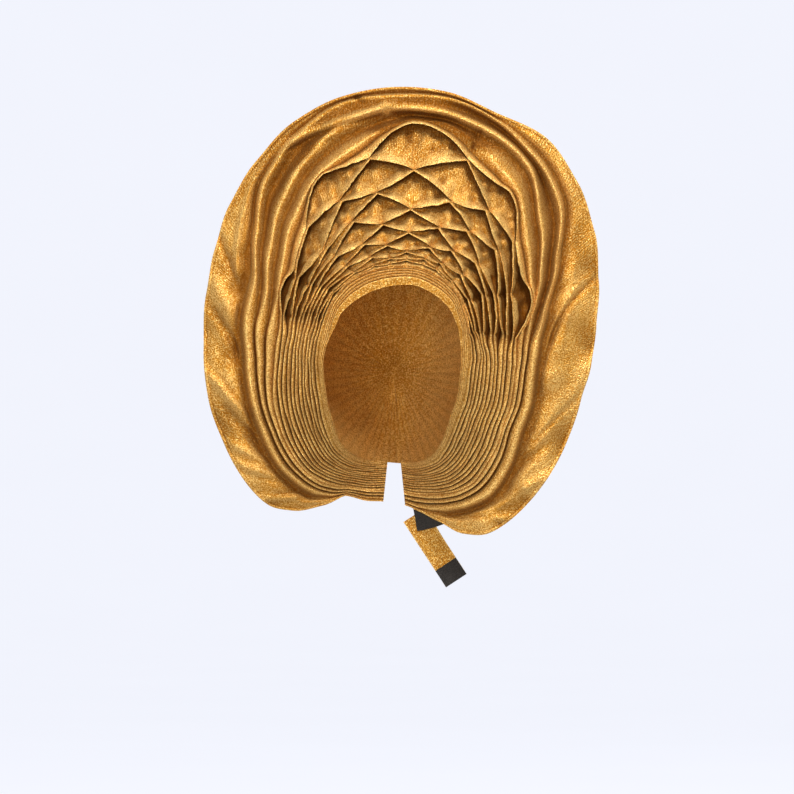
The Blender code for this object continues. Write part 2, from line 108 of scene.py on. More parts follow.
@dataclass(frozen=True)
class Station:
    """One spoke of the halo: reaches as shares of the face or halo reach, depths of the lean."""

    angle: float
    face: float
    band: float
    crest: float
    mid: float
    one: float
    two: float
    rim: float
    face_y: float
    rim_y: float


STATIONS = (
    Station(6, 0.540, 0.575, 0.295, 0.303, 0.312, 0.324, 0.333, 0.72, 0.74),
    Station(16, 0.566, 0.602, 0.304, 0.311, 0.321, 0.332, 0.340, 0.66, 0.70),
    Station(26, 0.593, 0.628, 0.316, 0.323, 0.331, 0.338, 0.345, 0.52, 0.58),
    Station(34, 0.602, 0.646, 0.337, 0.346, 0.359, 0.372, 0.415, 0.34, 0.46),
    Station(42, 0.611, 0.655, 0.353, 0.365, 0.378, 0.394, 0.484, 0.16, 0.34),
    Station(50, 0.611, 0.655, 0.365, 0.375, 0.388, 0.407, 0.530, 0.02, 0.26),
    Station(60, 0.593, 0.637, 0.369, 0.381, 0.397, 0.420, 0.547, -0.12, 0.18),
    Station(75, 0.575, 0.619, 0.375, 0.388, 0.404, 0.430, 0.566, -0.28, 0.12),
    Station(90, 0.593, 0.628, 0.385, 0.404, 0.423, 0.452, 0.598, -0.42, 0.08),
    Station(105, 0.637, 0.673, 0.397, 0.420, 0.449, 0.484, 0.635, -0.52, 0.04),
    Station(120, 0.717, 0.761, 0.423, 0.458, 0.500, 0.545, 0.696, -0.62, -0.03),
    Station(130, 0.765, 0.832, 0.462, 0.490, 0.532, 0.583, 0.752, -0.67, -0.08),
    Station(140, 0.814, 0.920, 0.513, 0.554, 0.619, 0.686, 0.820, -0.72, -0.14),
    Station(150, 0.894, 1.027, 0.596, 0.650, 0.724, 0.820, 0.884, -0.76, -0.20),
    Station(160, 0.938, 1.106, 0.718, 0.744, 0.820, 0.904, 0.946, -0.79, -0.26),
    Station(170, 0.973, 1.142, 0.769, 0.808, 0.900, 0.962, 0.984, -0.81, -0.31),
    Station(180, 1.000, 1.159, 0.853, 0.878, 0.929, 0.974, 1.000, -0.82, -0.34),
    Station(190, 1.018, 1.168, 0.869, 0.894, 0.929, 0.978, 0.999, -0.82, -0.35),
    Station(200, 0.991, 1.142, 0.782, 0.840, 0.907, 0.955, 0.974, -0.81, -0.33),
    Station(210, 0.942, 1.080, 0.728, 0.779, 0.862, 0.901, 0.970, -0.78, -0.29),
    Station(220, 0.858, 0.965, 0.622, 0.660, 0.734, 0.824, 0.913, -0.74, -0.23),
    Station(230, 0.761, 0.850, 0.548, 0.574, 0.609, 0.679, 0.840, -0.69, -0.16),
    Station(240, 0.681, 0.765, 0.458, 0.474, 0.503, 0.551, 0.760, -0.63, -0.10),
    Station(250, 0.619, 0.681, 0.417, 0.433, 0.452, 0.484, 0.692, -0.57, -0.05),
    Station(260, 0.580, 0.637, 0.391, 0.404, 0.420, 0.449, 0.644, -0.50, 0.00),
    Station(270, 0.552, 0.606, 0.378, 0.389, 0.404, 0.434, 0.602, -0.42, 0.05),
    Station(285, 0.522, 0.575, 0.359, 0.369, 0.381, 0.413, 0.572, -0.30, 0.11),
    Station(300, 0.535, 0.584, 0.362, 0.375, 0.391, 0.423, 0.553, -0.15, 0.17),
    Station(315, 0.575, 0.619, 0.369, 0.381, 0.397, 0.430, 0.542, 0.04, 0.24),
    Station(325, 0.602, 0.646, 0.359, 0.372, 0.388, 0.413, 0.529, 0.20, 0.32),
    Station(333, 0.602, 0.637, 0.343, 0.356, 0.372, 0.394, 0.487, 0.34, 0.42),
    Station(340, 0.593, 0.628, 0.327, 0.340, 0.356, 0.378, 0.420, 0.48, 0.54),
    Station(347, 0.575, 0.611, 0.314, 0.324, 0.340, 0.359, 0.375, 0.62, 0.66),
    Station(354, 0.549, 0.584, 0.301, 0.311, 0.324, 0.337, 0.346, 0.72, 0.74),
)


@dataclass(frozen=True)
class Tack:
    """One line of tacks: its outer and inner angle, its tacks from outside in, the free crest."""

    outer: float
    inner: float
    reaches: tuple[float, float, float, float, float]
    free: float


TACKS = (
    Tack(127.4, 138.6, (0.448, 0.416, 0.397, 0.381, 0.363), 0.0),
    Tack(140.4, 150.3, (0.496, 0.452, 0.429, 0.413, 0.391), 0.519),
    Tack(153.0, 163.0, (0.615, 0.526, 0.492, 0.450, 0.424), 0.0),
    Tack(164.0, 171.8, (0.655, 0.582, 0.503, 0.458, 0.432), 0.756),
    Tack(174.1, 178.4, (0.773, 0.660, 0.559, 0.491, 0.449), 0.0),
    Tack(185.0, 185.0, (0.734, 0.608, 0.533, 0.473, 0.446), 0.885),
    Tack(197.3, 192.2, (0.799, 0.655, 0.565, 0.497, 0.458), 0.0),
    Tack(207.5, 198.0, (0.672, 0.585, 0.509, 0.459, 0.436), 0.762),
    Tack(217.6, 205.6, (0.631, 0.577, 0.506, 0.452, 0.420), 0.0),
    Tack(229.0, 215.5, (0.497, 0.465, 0.438, 0.397, 0.376), 0.560),
    Tack(243.4, 228.8, (0.430, 0.408, 0.378, 0.351, 0.335), 0.0),
)
LAST_TACK = len(TACKS) - 1
CRESTS = 12
TACKED = 10
CREST_SHARE = (1.0, 0.90, 0.80, 0.71, 0.62, 0.54, 0.46, 0.38, 0.305, 0.23, 0.155, 0.08)


@dataclass(frozen=True)
class PleatRow:
    """One row of points across a pleat, from its inner crest towards its outer one.

    At the gathered sides the row is placed by a share of the pleat's width, over the
    honeycomb by shares of the lip, of the rest of the cell and of the overhang.
    """

    side: float
    side_sink: float
    lip: float
    rest: float
    over: float
    sink: float
    # painted light at the gathered sides and over the honeycomb: painted highlight on crests and lips,
    # painted shade in the fold bottoms and under the overhang
    side_painted_light: float
    tone: float


PLEAT_ROWS = (
    PleatRow(0.000, 0.00, 0.00, 0.00, 0.00, 0.00, 1.0, 1.0),
    PleatRow(0.035, 0.03, 0.22, 0.00, 0.00, 0.03, 0.8, 1.0),
    PleatRow(0.060, 0.12, 0.60, 0.00, 0.00, 0.14, 0.0, 0.9),
    PleatRow(0.075, 0.28, 1.00, 0.00, 0.00, 0.32, -0.4, 0.5),
    PleatRow(0.090, 0.46, 1.00, 0.10, 0.00, 0.44, -0.7, -0.3),
    PleatRow(0.103, 0.64, 1.00, 0.32, 0.00, 0.53, -0.9, -0.3),
    PleatRow(0.117, 0.80, 1.00, 0.56, 0.00, 0.63, -1.0, -0.35),
    PleatRow(0.131, 0.91, 1.00, 0.78, 0.00, 0.77, -1.0, -0.55),
    PleatRow(0.150, 0.98, 1.00, 0.93, 0.00, 0.93, -1.0, -0.9),
    PleatRow(0.190, 1.00, 1.00, 1.00, 1.00, 1.00, -1.0, -1.0),
    PleatRow(0.330, 0.58, 1.00, 1.00, 1.20, 0.64, -0.05, -1.0),
    PleatRow(0.580, 0.28, 1.00, 1.00, 0.80, 0.30, 0.25, -0.7),
    PleatRow(0.840, 0.08, 1.00, 1.00, 0.25, 0.08, 0.95, 0.3),
)
VALLEY_AT = 9.0 / len(PLEAT_ROWS)       # the deepest row, as a share of all rows


@dataclass(frozen=True)
class EdgeRow:
    """One row from the outermost crest, at share 0, down into the valley outside it."""

    share: float
    side_sink: float
    sink: float
    # painted light at the sides and over the top: painted highlight on the crest, painted shade down in the
    # valley
    side_painted_light: float
    tone: float


EDGE_ROWS = (
    EdgeRow(0.00, 0.00, 0.00, 1.0, 1.0),
    EdgeRow(0.14, 0.10, 0.03, 0.6, 1.0),
    EdgeRow(0.32, 0.40, 0.12, -0.3, 0.9),
    EdgeRow(0.52, 0.75, 0.34, -0.9, 0.4),
    EdgeRow(0.75, 0.94, 0.75, -1.0, -0.6),
    EdgeRow(1.00, 1.00, 1.00, -1.0, -1.0),
)


def blend(first: Value, second: Value, share: Value) -> Value:
    """The first value at share 0 and the second at share 1."""
    return first + (second - first) * share


def clamp(value: Value) -> Array:
    """Limits values to 0 and 1."""
    return np.clip(value, 0.0, 1.0)


def smooth(share: Value) -> Array:
    """Limits values to 0 and 1 and eases them, flat at both ends."""
    return clamp(share) ** 2 * (3.0 - 2.0 * clamp(share))


def window(value: Array, start: float, end: float, fade: float) -> Array:
    """1 between two values and 0 outside them, eased over the fade inside each."""
    return smooth((value - start) / fade) * smooth((end - value) / fade)


def bell(value: Array, middle: Value, width: float) -> Array:
    """A rounded bump, 1 at its middle."""
    return np.exp(-((value - middle) / width) ** 2)


def off_middle(value: Array, limits: tuple[float, float]) -> Array:
    """0 halfway between two limits, 1 at each of them."""
    return np.abs(2.0 * (value - limits[0]) / (limits[1] - limits[0]) - 1.0)


def lattice(first: tuple[float, float, int], second: tuple[float, float, int]) -> list[Array]:
    """Two grids of even values, each given by its start, its end and its number of values."""
    return np.meshgrid(np.linspace(*first), np.linspace(*second), indexing="ij")


def stacked(rows: Rows) -> list[Array]:
    """Turns rows into grids, columns first, one for each kind of value in a row."""
    return [np.stack(parts, axis=1) for parts in zip(*(np.broadcast_arrays(*row) for row in rows))]


def side_profile(run: float) -> list[float]:
    """Profile of a gathered pleat at the sides.

    Args:
        run: 0 at the pleat's inner crest, 1 at its outer one, even over its rows.

    Returns:
        The share of the pleat's width, the share of its depth and the painted light.
    """
    knots = np.arange(len(PLEAT_ROWS) + 1) / len(PLEAT_ROWS)
    profile = []
    for name, end in (("side", 1.0), ("side_sink", 0.0), ("side_painted_light", 1.0)):
        values = [getattr(row, name) for row in PLEAT_ROWS] + [end]
        profile.append(float(np.interp(run, knots, values)))
    return profile


@dataclass(frozen=True)
class Ripple:
    """Smooth seeded unevenness, a sum of plane waves over two coordinates."""

    wavelength: float
    height: float
    seed: int
    waves: int = 18
    spread: tuple[float, float] = (0.7, 1.6)

    def over(self, across: Array, along: Value, shift: int = 0) -> Array:
        """Unevenness at places given by two coordinates in metres.

        Args:
            across: First coordinate.
            along: Second coordinate.
            shift: Added to the seed.

        Returns:
            Heights of about the ripple's own height.
        """
        draw = np.random.default_rng(self.seed + shift)
        turns = draw.uniform(0.0, 2.0 * math.pi, self.waves)
        pitches = 2.0 * math.pi / (self.wavelength * draw.uniform(*self.spread, self.waves))
        phases = draw.uniform(0.0, 2.0 * math.pi, self.waves)
        total = np.zeros(np.broadcast(across, along).shape)
        for turn, pitch, phase in zip(turns, pitches, phases):
            total += np.sin(pitch * (across * math.cos(turn) + along * math.sin(turn)) + phase)
        return self.height * total / math.sqrt(0.5 * self.waves)


@dataclass(frozen=True)
class Crease:
    """A ridge or, with a negative height, a hollow along a line of places (x, z) in millimetres.

    The places are measured from the face centre. The bite is a hollow that runs along
    the ridge's right-hand side, seen from its first place to its last. Its place and
    width are shares of the ridge's width, the fade and the overrun shares of the length.
    """

    line: tuple[tuple[float, float], ...]
    height: float
    width: float
    bite: float = 0.0
    bite_at: float = 1.3
    bite_width: float = 0.8
    fade: float = 0.30
    overrun: float = 0.2
    cuts: int = 2

    def places(self) -> Array:
        """Cuts the corners of the line.

        Returns:
            Its places in metres, x and z on the last axis.
        """
        places = np.array(self.line, float) * MILLIMETRE
        for _ in range(self.cuts):
            near, far = places[:-1], places[1:]
            corners = np.stack([blend(near, far, 0.25), blend(near, far, 0.75)], axis=1)
            places = np.concatenate([places[:1], corners.reshape(-1, 2), places[-1:]])
        return places

    def relief(self, x: Array, z: Array) -> Array:
        """Height of the crease at places in metres from the face centre.

        Args:
            x: Places across.
            z: Places up.

        Returns:
            Heights towards the viewer in metres.
        """
        places = self.places()
        runs = np.diff(places, axis=0)
        lengths = np.hypot(runs[:, 0], runs[:, 1])
        starts = np.concatenate([[0.0], np.cumsum(lengths)])
        low = np.zeros(len(runs))
        high = np.ones(len(runs))
        low[0] -= self.overrun * starts[-1] / lengths[0]
        high[-1] += self.overrun * starts[-1] / lengths[-1]
        nearest = np.full(x.shape, np.inf)
        side = np.zeros(x.shape)
        share = np.zeros(x.shape)
        for index, (run, length) in enumerate(zip(runs, lengths)):
            dx = x - places[index, 0]
            dz = z - places[index, 1]
            along = np.clip((dx * run[0] + dz * run[1]) / length ** 2, low[index], high[index])
            off = np.hypot(dx - along * run[0], dz - along * run[1])
            closer = off < nearest
            nearest = np.where(closer, off, nearest)
            side = np.where(closer, np.sign(dx * run[1] - dz * run[0]), side)
            share = np.where(closer, (starts[index] + along * length) / starts[-1], share)
        ends = window(share, -0.5 * self.fade, 1.0 + 0.5 * self.fade, self.fade)
        hollow = bell(side * nearest, self.bite_at * self.width, self.bite_width * self.width)
        return ends * (self.height * bell(nearest, 0.0, self.width) - self.bite * hollow)


def relief_of(creases: Iterable[Crease], x: Array, z: Array) -> Array:
    """Height of several creases together, at places across and up in metres."""
    return sum(crease.relief(x, z) for crease in creases)


# Pinches inside single cells of the honeycomb.
CELL_DARTS = (
    Crease(((15, 277), (15, 251)), -0.0045, 0.0022),
    Crease(((-10, 250), (-5, 240)), 0.0030, 0.0025),
    Crease(((60, 222), (53, 196)), 0.0045, 0.0060, 0.0015),
    Crease(((40, 238), (60, 236), (72, 232)), 0.0030, 0.0050),
)
BRIM_CREASES = (
    Crease(((-143, 212), (-153, 180), (-158, 152), (-156, 129)), 0.0026, 0.0034),
    Crease(((-178, 172), (-170, 150), (-163, 131), (-157, 112)), -0.0038, 0.0032),
    Crease(((-184, 123), (-168, 98), (-158, 78)), 0.0045, 0.0075, 0.0015),
    Crease(((-187, 98), (-174, 81), (-163, 61), (-154, 46), (-147, 30)), -0.0052, 0.0040),
    Crease(((-186, 62), (-170, 30), (-158, 8)), 0.0030, 0.0110),
    Crease(((-136, -29), (-147, -15), (-161, -3), (-173, 12), (-190, 30)), 0.0040, 0.0034, 0.0024),
    Crease(((-172, -4), (-159, -20), (-150, -31), (-132, -47), (-122, -59)), -0.0050, 0.0052),
    Crease(((-170, -40), (-150, -53), (-133, -62), (-113, -74), (-92, -84)), 0.0036, 0.0046),
    Crease(((-160, -62), (-152, -67), (-138, -72), (-119, -77)), 0.0034, 0.0030, 0.0014),
    Crease(((-154, -57), (-135, -63), (-120, -70)), -0.0030, 0.0030),
    Crease(((-140, -101), (-122, -99), (-100, -98), (-78, -90)), 0.0030, 0.0030, 0.0012),
    Crease(((-119, -96), (-103, -94), (-93, -86)), -0.0032, 0.0028),
    Crease(((201, 122), (183, 106), (168, 86), (160, 68), (149, 36), (143, 20)), -0.0046, 0.0026, -0.0030),
    Crease(((176, 117), (164, 110), (157, 101)), -0.0030, 0.0028),
    Crease(((201, 37), (187, 14), (171, -4), (156, -21), (139, -47)), 0.0046, 0.0100),
    Crease(((184, 1), (168, -14), (151, -31), (139, -45)), -0.0032, 0.0020),
    Crease(((153, -45), (132, -62), (118, -76), (104, -88)), -0.0045, 0.0048),
    Crease(((165, -77), (147, -79), (134, -88), (114, -97), (94, -107)), 0.0032, 0.0050, 0.0008),
    Crease(((122, -90), (139, -105)), -0.0036, 0.0022),
    Crease(((130, -86), (144, -98)), 0.0030, 0.0024),
    Crease(((61, -120), (92, -117), (103, -122), (112, -130)), -0.0030, 0.0018),
    Crease(((96, -119), (113, -120), (126, -116)), 0.0030, 0.0030),
    Crease(((121, -100), (102, -108), (70, -114), (52, -114)), 0.0026, 0.0036, 0.0010),
    Crease(((-62, 306), (-36, 296), (-6, 292), (20, 290)), 0.0026, 0.0050),
)
# Across the plain folds: the left ridge that runs over the top, its knot and the pinches beside it.
FOLD_CREASES = (
    Crease(((-112, 250), (-104, 257), (-75, 270), (-45, 281), (-20, 288), (-7, 293)), 0.0050, 0.0036, 0.0034),
    Crease(((-12, 296), (-5, 291), (-8, 285)), 0.0040, 0.0026),
    Crease(((-39, 303), (-31, 296)), -0.0036, 0.0022),
    Crease(((86, 270), (80, 256), (77, 248)), -0.0040, 0.0020, -0.0015),
    Crease(((-62, 262), (-84, 247), (-99, 232)), -0.0026, 0.0028),
    Crease(((-2, 287), (30, 285), (62, 280)), -0.0030, 0.0030),
)


@dataclass
class HaloForm:
    """The lie of the halo, shared by all its sheets."""

    seat: float
    halo_reach: float = 0.312
    face_reach: float = 0.113
    lean: float = 0.100
    tension: float = 0.8

    @classmethod
    def from_frame(cls) -> HaloForm:
        """Reads the height of the head seat over the face centre from the frame's brim."""
        return cls(seat=cls.halo_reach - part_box("brim")[1].z)

    def curve(self, name: str, angle: Array) -> Array:
        """One column of the stations at angles, by a cubic that wraps round.

        Args:
            name: Name of the station's field.
            angle: Angles in degrees.

        Returns:
            The column's shares at the angles.
        """
        knots = np.array([station.angle for station in STATIONS], float)
        knots = np.concatenate([knots[-2:] - FULL_TURN, knots, knots[:2] + FULL_TURN])
        values = np.array([getattr(station, name) for station in STATIONS], float)
        values = np.concatenate([values[-2:], values, values[:2]])
        slopes = np.zeros(len(knots))
        slopes[1:-1] = self.tension * (values[2:] - values[:-2]) / (knots[2:] - knots[:-2])
        turned = np.mod(angle, FULL_TURN)
        at = np.clip(np.searchsorted(knots, turned, side="right") - 1, 1, len(knots) - 3)
        span = knots[at + 1] - knots[at]
        share = (turned - knots[at]) / span
        square = share * share
        cube = square * share
        start = (2 * cube - 3 * square + 1) * values[at] + (cube - 2 * square + share) * slopes[at] * span
        return start + (3 * square - 2 * cube) * values[at + 1] + (cube - square) * slopes[at + 1] * span

    def reach(self, name: str, angle: Array) -> Array:
        """Reach of the face edge, of the brow band's outer edge, of a fold or of the rim."""
        base = self.face_reach if name in ("face", "band") else self.halo_reach
        return base * self.curve(name, angle)

    def lie(self, angle: Array, reach: Array) -> Array:
        """Depth of the smooth halo, before any fold is put on it.

        Args:
            angle: Angles in degrees.
            reach: Reaches in metres.

        Returns:
            Depths in metres, larger towards the back.
        """
        inner = self.reach("face", angle)
        share = (reach - inner) / (self.reach("rim", angle) - inner)
        return self.lean * blend(self.curve("face_y", angle), self.curve("rim_y", angle), share)

    def flat(self, angle: Array, reach: Array) -> tuple[Array, Array]:
        """Places across and up from the face centre, for angles in degrees and reaches."""
        return -reach * np.sin(np.radians(angle)), -reach * np.cos(np.radians(angle))

    def world(self, angle: Array, reach: Array, depth: Array) -> Array:
        """World points of polar places, with x, y and z on the last axis."""
        x, z = self.flat(angle, reach)
        return np.stack([x, depth, z - self.seat], axis=-1)


@dataclass
class PleatLines:
    """Crest lines of the pleats on a fine set of columns."""

    form: HaloForm
    side_step: float = 1.5
    cell_steps: int = 16
    tack_gap: float = 0.0017
    tack_pull: float = 0.0022
    tack_width: float = 2.4         # a tack's pull fades out where this times the cell's arc is 1
    cell_rise: float = 0.0026
    inner_rise: float = 0.2         # share of the rise on the crests inside the last tacks
    crest_step: float = 0.0010
    gathered: tuple[float, float] = (60.0, 310.0)
    converge: float = 15.0          # degrees over which the sides draw in to the honeycomb
    converge_power: float = 1.6
    honeycomb: Span = (118.0, 252.0, 14.0)
    flank_cells: tuple[float, float] = (2.2, 1.2)       # narrow cells at each end, cells of fade
    flank_fade: float = 6.0
    bow: tuple[float, float] = (-0.011, 0.003)          # least and most, as shares of the halo's reach
    bow_seed: int = 90
    degree: float = 0.0022          # metres of cloth for each degree, for the ripples at the sides
    edge_ripple: Ripple = Ripple(0.020, 0.0004, 70)
    side_ripple: Ripple = Ripple(0.055, 0.00035, 40)
    side_sway: Ripple = Ripple(0.040, 0.0007, 60)
    outer: Array = field(init=False)
    inner: Array = field(init=False)
    line: Array = field(init=False)

    def __post_init__(self) -> None:
        """Lays out the columns: left side, cell by cell over the top, right side."""
        first, last = TACKS[0], TACKS[-1]
        left = np.arange(STATIONS[0].angle, first.outer - 0.5 * self.side_step, self.side_step)
        right = np.arange(STATIONS[-1].angle, last.outer + 0.5 * self.side_step, -self.side_step)[::-1]
        line = np.arange(LAST_TACK * self.cell_steps + 1) / self.cell_steps
        near_left = smooth((left - self.gathered[0]) / (first.outer - self.gathered[0]))
        near_right = smooth((self.gathered[1] - right) / (self.gathered[1] - last.outer))
        self.outer = np.concatenate([left, self.on_tacks(line, [tack.outer for tack in TACKS]), right])
        self.inner = np.concatenate([
            left + (first.inner - first.outer) * near_left,
            self.on_tacks(line, [tack.inner for tack in TACKS]),
            right + (last.inner - last.outer) * near_right,
        ])
        self.line = np.concatenate([np.zeros(left.shape), line, np.full(right.shape, float(LAST_TACK))])

    @staticmethod
    def on_tacks(line: Array, values: list[float] | Array) -> Array:
        """Values given for each line of tacks, at places between the lines."""
        return np.interp(line, np.arange(len(TACKS)), values)

    @property
    def top(self) -> Array:
        """1 on the columns of the honeycomb, 0 at the gathered sides."""
        return window(self.outer, *self.honeycomb)

    @property
    def past(self) -> Array:
        """Degrees beyond the honeycomb's first or last line of tacks, at most 0 inside."""
        return np.maximum(TACKS[0].outer - self.outer, self.outer - TACKS[-1].outer)

    @property
    def swell(self) -> Array:
        """0 on a line of tacks, 1 halfway between two, and halfway at the sides."""
        return np.where(self.past > 0.0, 0.5, np.abs(np.sin(math.pi * self.line)))

    @property
    def flank(self) -> Array:
        """Weight of the narrow cells at both ends of the honeycomb.

        Returns:
            1 in them and 0 over the forehead, for every column.
        """
        half = 0.5 * LAST_TACK
        cells = smooth((np.abs(self.line - half) - half + self.flank_cells[0]) / self.flank_cells[1])
        return np.where(self.past > 0.0, smooth(1.0 - self.past / self.flank_fade), cells) * self.top

    def angle(self, crest: float) -> Array:
        """Angle of a crest on every column."""
        return blend(self.outer, self.inner, min(1.0, max(0.0, (crest - 0.5) / (TACKED - 2.0))))

    def tacked(self, row: int, crest: int) -> float:
        """Reach of a crest on a line of tacks.

        Args:
            row: Number of the line of tacks.
            crest: Number of the crest, from outside in.

        Returns:
            The reach in metres.
        """
        tack = TACKS[row]
        odd = row % 2
        if crest >= TACKED + odd:
            inner = float(self.form.reach("band", np.array([tack.inner]))[0])
            held = self.tacked(row, TACKED - 1) - 1.6 * self.tack_gap
            return inner + (held - inner) * (CRESTS - crest) / (CRESTS - TACKED + 1.0)
        pair, lower = divmod(crest - odd, 2)
        if pair < 0:
            return self.form.halo_reach * tack.free
        return self.form.halo_reach * tack.reaches[pair] + (0.5 - lower) * self.tack_gap

    def gathered_reach(self, crest: int) -> Array:
        """Reach of a crest as the gathered sides have it, on every column."""
        angle = self.angle(crest)
        return blend(self.form.reach("band", angle), self.form.reach("crest", angle), CREST_SHARE[crest])

    def reach(self, crest: int) -> Array:
        """Reach of one crest on every column: bows between the tacks, drawn in beside them.

        Args:
            crest: Number of the crest, from outside in.

        Returns:
            Reaches in metres.
        """
        knots = np.array([self.tacked(row, crest) for row in range(len(TACKS))])
        before = np.floor(self.line).astype(int)
        share = self.line - before
        cell = np.sin(math.pi * share)
        loose = 1.0 - crest / CRESTS
        if crest == 0:
            rising = np.sin(0.5 * math.pi * share)
            falling = 1.0 - np.cos(0.5 * math.pi * share)
            after = np.ceil(self.line).astype(int)
            reach = blend(knots[before], knots[after], np.where(before % 2 == 0, rising, falling))
        else:
            bows = np.random.default_rng(self.bow_seed + crest).uniform(*self.bow, len(TACKS))
            reach = self.on_tacks(self.line, knots) + bows[before] * self.form.halo_reach * cell * loose
        arc = reach * np.radians(self.angle(crest))
        reach = reach + self.edge_ripple.over(arc, 0.0, crest) * loose * cell
        gathered = self.gathered_reach(crest)
        before_first = TACKS[0].outer - self.outer
        after_last = self.outer - TACKS[-1].outer
        for knot, past in ((knots[0], before_first), (knots[-1], after_last)):
            near = clamp((self.converge - past) / self.converge) ** self.converge_power
            drawn = gathered + (knot - gathered[np.argmin(np.abs(past))]) * near
            reach = np.where(past > 0.0, drawn, reach)
        return reach + (1.0 - self.top) * self.side_ripple.over(self.outer * self.degree, reach, crest)

    def crest(self, crest: int) -> Line:
        """One crest line, before its neighbours push it outward.

        Args:
            crest: Number of the crest, from outside in.

        Returns:
            Its angle, reach and depth on every column.
        """
        angle = self.angle(crest)
        reach = self.reach(crest)
        top = self.top
        cell = np.sin(math.pi * (self.line - np.floor(self.line)))
        turns = (-0.1 if crest % 2 else 0.1) * np.cos(math.pi * self.line)
        pull = self.tack_pull * clamp(1.0 - self.tack_width * cell) * (0.9 + turns)
        rise = self.cell_rise * cell * (1.0 if crest < TACKED else self.inner_rise)
        sway = self.side_sway.over(self.outer * self.degree, reach, crest)
        return angle, reach, self.form.lie(angle, reach) + blend(sway, pull - rise, top)

    def crests(self) -> list[Line]:
        """Lays out all the crests, each at least a step outside the next.

        Returns:
            The crest lines from outside in.
        """
        found = [self.crest(crest) for crest in range(CRESTS)]
        floor = self.form.reach("band", self.angle(CRESTS - 1)) + self.crest_step
        for crest in range(CRESTS - 1, -1, -1):
            angle, reach, depth = found[crest]
            raised = np.maximum(reach, floor)
            found[crest] = (angle, raised, depth)
            floor = raised + self.crest_step
        return found


@dataclass(frozen=True)
class Weave:
    """Scale of the cloth's weave and of its metal flecks."""

    rib: float = 0.55
    dash: float = 3.4
    run: float = 330.0
    fleck: float = 740.0
    cloud: float = 42.0

    def scales(self) -> dict[str, float]:
        """The scales under the names of the shared weave's inputs."""
        return {name.capitalize(): scale for name, scale in vars(self).items()}


@dataclass(frozen=True)
class ShaderKit:
    """Small helpers that lay out nodes of one tree."""

    tree: NodeTree

    def feed(self, node: Node, inputs: Inputs) -> None:
        """Gives a node's inputs their links or values.

        Args:
            node: The node.
            inputs: Its inputs, by name or number.
        """
        for key, value in inputs.items():
            if isinstance(value, Socket):
                self.tree.links.new(value, node.inputs[key])
            else:
                node.inputs[key].default_value = value

    def node(self, kind: str, inputs: Inputs | None = None, **settings: object) -> Node:
        """Adds a node.

        Args:
            kind: Type name of the node.
            inputs: Its inputs, by name or number.
            settings: Properties of the node by name.

        Returns:
            The new node.
        """
        made = self.tree.nodes.new(kind)
        for name, value in settings.items():
            setattr(made, name, value)
        self.feed(made, inputs or {})
        return made

    def math(self, operation: str, *terms: Socket | float) -> Socket:
        """Adds a Math node over its terms."""
        return self.node("ShaderNodeMath", dict(enumerate(terms)), operation=operation).outputs[0]

    def mix(self, share: Socket | float, first: Socket | Colour, second: Socket | Colour) -> Socket:
        """Adds a Mix node: the first colour at share 0, the second at 1."""
        ends = [end if isinstance(end, Socket) else (*end, 1.0) for end in (first, second)]
        return self.node("ShaderNodeMix", {0: share, 6: ends[0], 7: ends[1]}, data_type="RGBA").outputs[2]

    def remap(self, value: Socket, low: float, high: float, start: float = 0.0, end: float = 1.0) -> Socket:
        """Adds a clamped Map Range node, from low and high to start and end."""
        inputs = {"Value": value, "From Min": low, "From Max": high, "To Min": start, "To Max": end}
        return self.node("ShaderNodeMapRange", inputs).outputs["Result"]

    def noise(self, vector: Socket, scale: Socket | float, detail: float) -> Socket:
        """Adds a Noise node with its scale for each metre and its number of finer layers."""
        inputs = {"Vector": vector, "Scale": scale, "Detail": detail}
        return self.node("ShaderNodeTexNoise", inputs).outputs["Fac"]

    def bump(self, height: Socket, strength: float, distance: float) -> Socket:
        """Adds a Bump node, whose full step is a distance in metres, and returns its normal."""
        inputs = {"Height": height, "Strength": strength, "Distance": distance}
        return self.node("ShaderNodeBump", inputs).outputs["Normal"]


def blank_material(name: str) -> tuple[Material, ShaderKit, Node]:
    """Starts a material.

    Args:
        name: Its name.
    """
    material = bpy.data.materials.new(name)
    material.use_nodes = True
    return material, ShaderKit(material.node_tree), material.node_tree.nodes["Principled BSDF"]


def lame_group() -> NodeTree:
    """Shared weave of the gold cloth: ribs across the UV's first axis, dashes, flecks and clouds.

    Returns:
        A node group with outputs for the weave's height, the flecks, the clouds and the threads.
    """
    group = bpy.data.node_groups.new("lame_weave", "ShaderNodeTree")
    for name, scale in Weave().scales().items():
        socket = group.interface.new_socket(name=name, in_out="INPUT", socket_type="NodeSocketFloat")
        socket.default_value = scale
    for name in ("Height", "Flecks", "Clouds", "Threads"):
        group.interface.new_socket(name=name, in_out="OUTPUT", socket_type="NodeSocketFloat")
    kit = ShaderKit(group)
    scale = kit.node("NodeGroupInput").outputs
    place = kit.node("ShaderNodeTexCoord").outputs
    across, along = kit.node("ShaderNodeSeparateXYZ", {0: place["UV"]}).outputs[:2]
    wander = kit.math("MULTIPLY", kit.noise(place["Object"], 60.0, 1.0), 9.0)
    turn = kit.math("MULTIPLY", across, kit.math("DIVIDE", 2.0 * math.pi, scale["Rib"]))
    ribs = kit.math("MULTIPLY_ADD", kit.math("SINE", kit.math("ADD", turn, wander)), 0.5, 0.5)
    spread = {0: kit.math("MULTIPLY", across, scale["Dash"]), 1: kit.math("MULTIPLY", along, scale["Run"])}
    dashes = kit.noise(kit.node("ShaderNodeCombineXYZ", spread).outputs[0], 1.0, 1.0)
    threads = kit.math("MULTIPLY", kit.math("ADD", ribs, kit.remap(dashes, 0.36, 0.64)), 0.5)
    flecks = kit.remap(kit.noise(place["Object"], scale["Fleck"], 1.0), 0.42, 0.66)
    clouds = kit.remap(kit.noise(place["Object"], scale["Cloud"], 3.0), 0.34, 0.66)
    height = kit.math("MULTIPLY", kit.math("ADD", threads, flecks), 0.5)
    kit.node("NodeGroupOutput", {"Height": height, "Flecks": flecks, "Clouds": clouds, "Threads": threads})
    return group


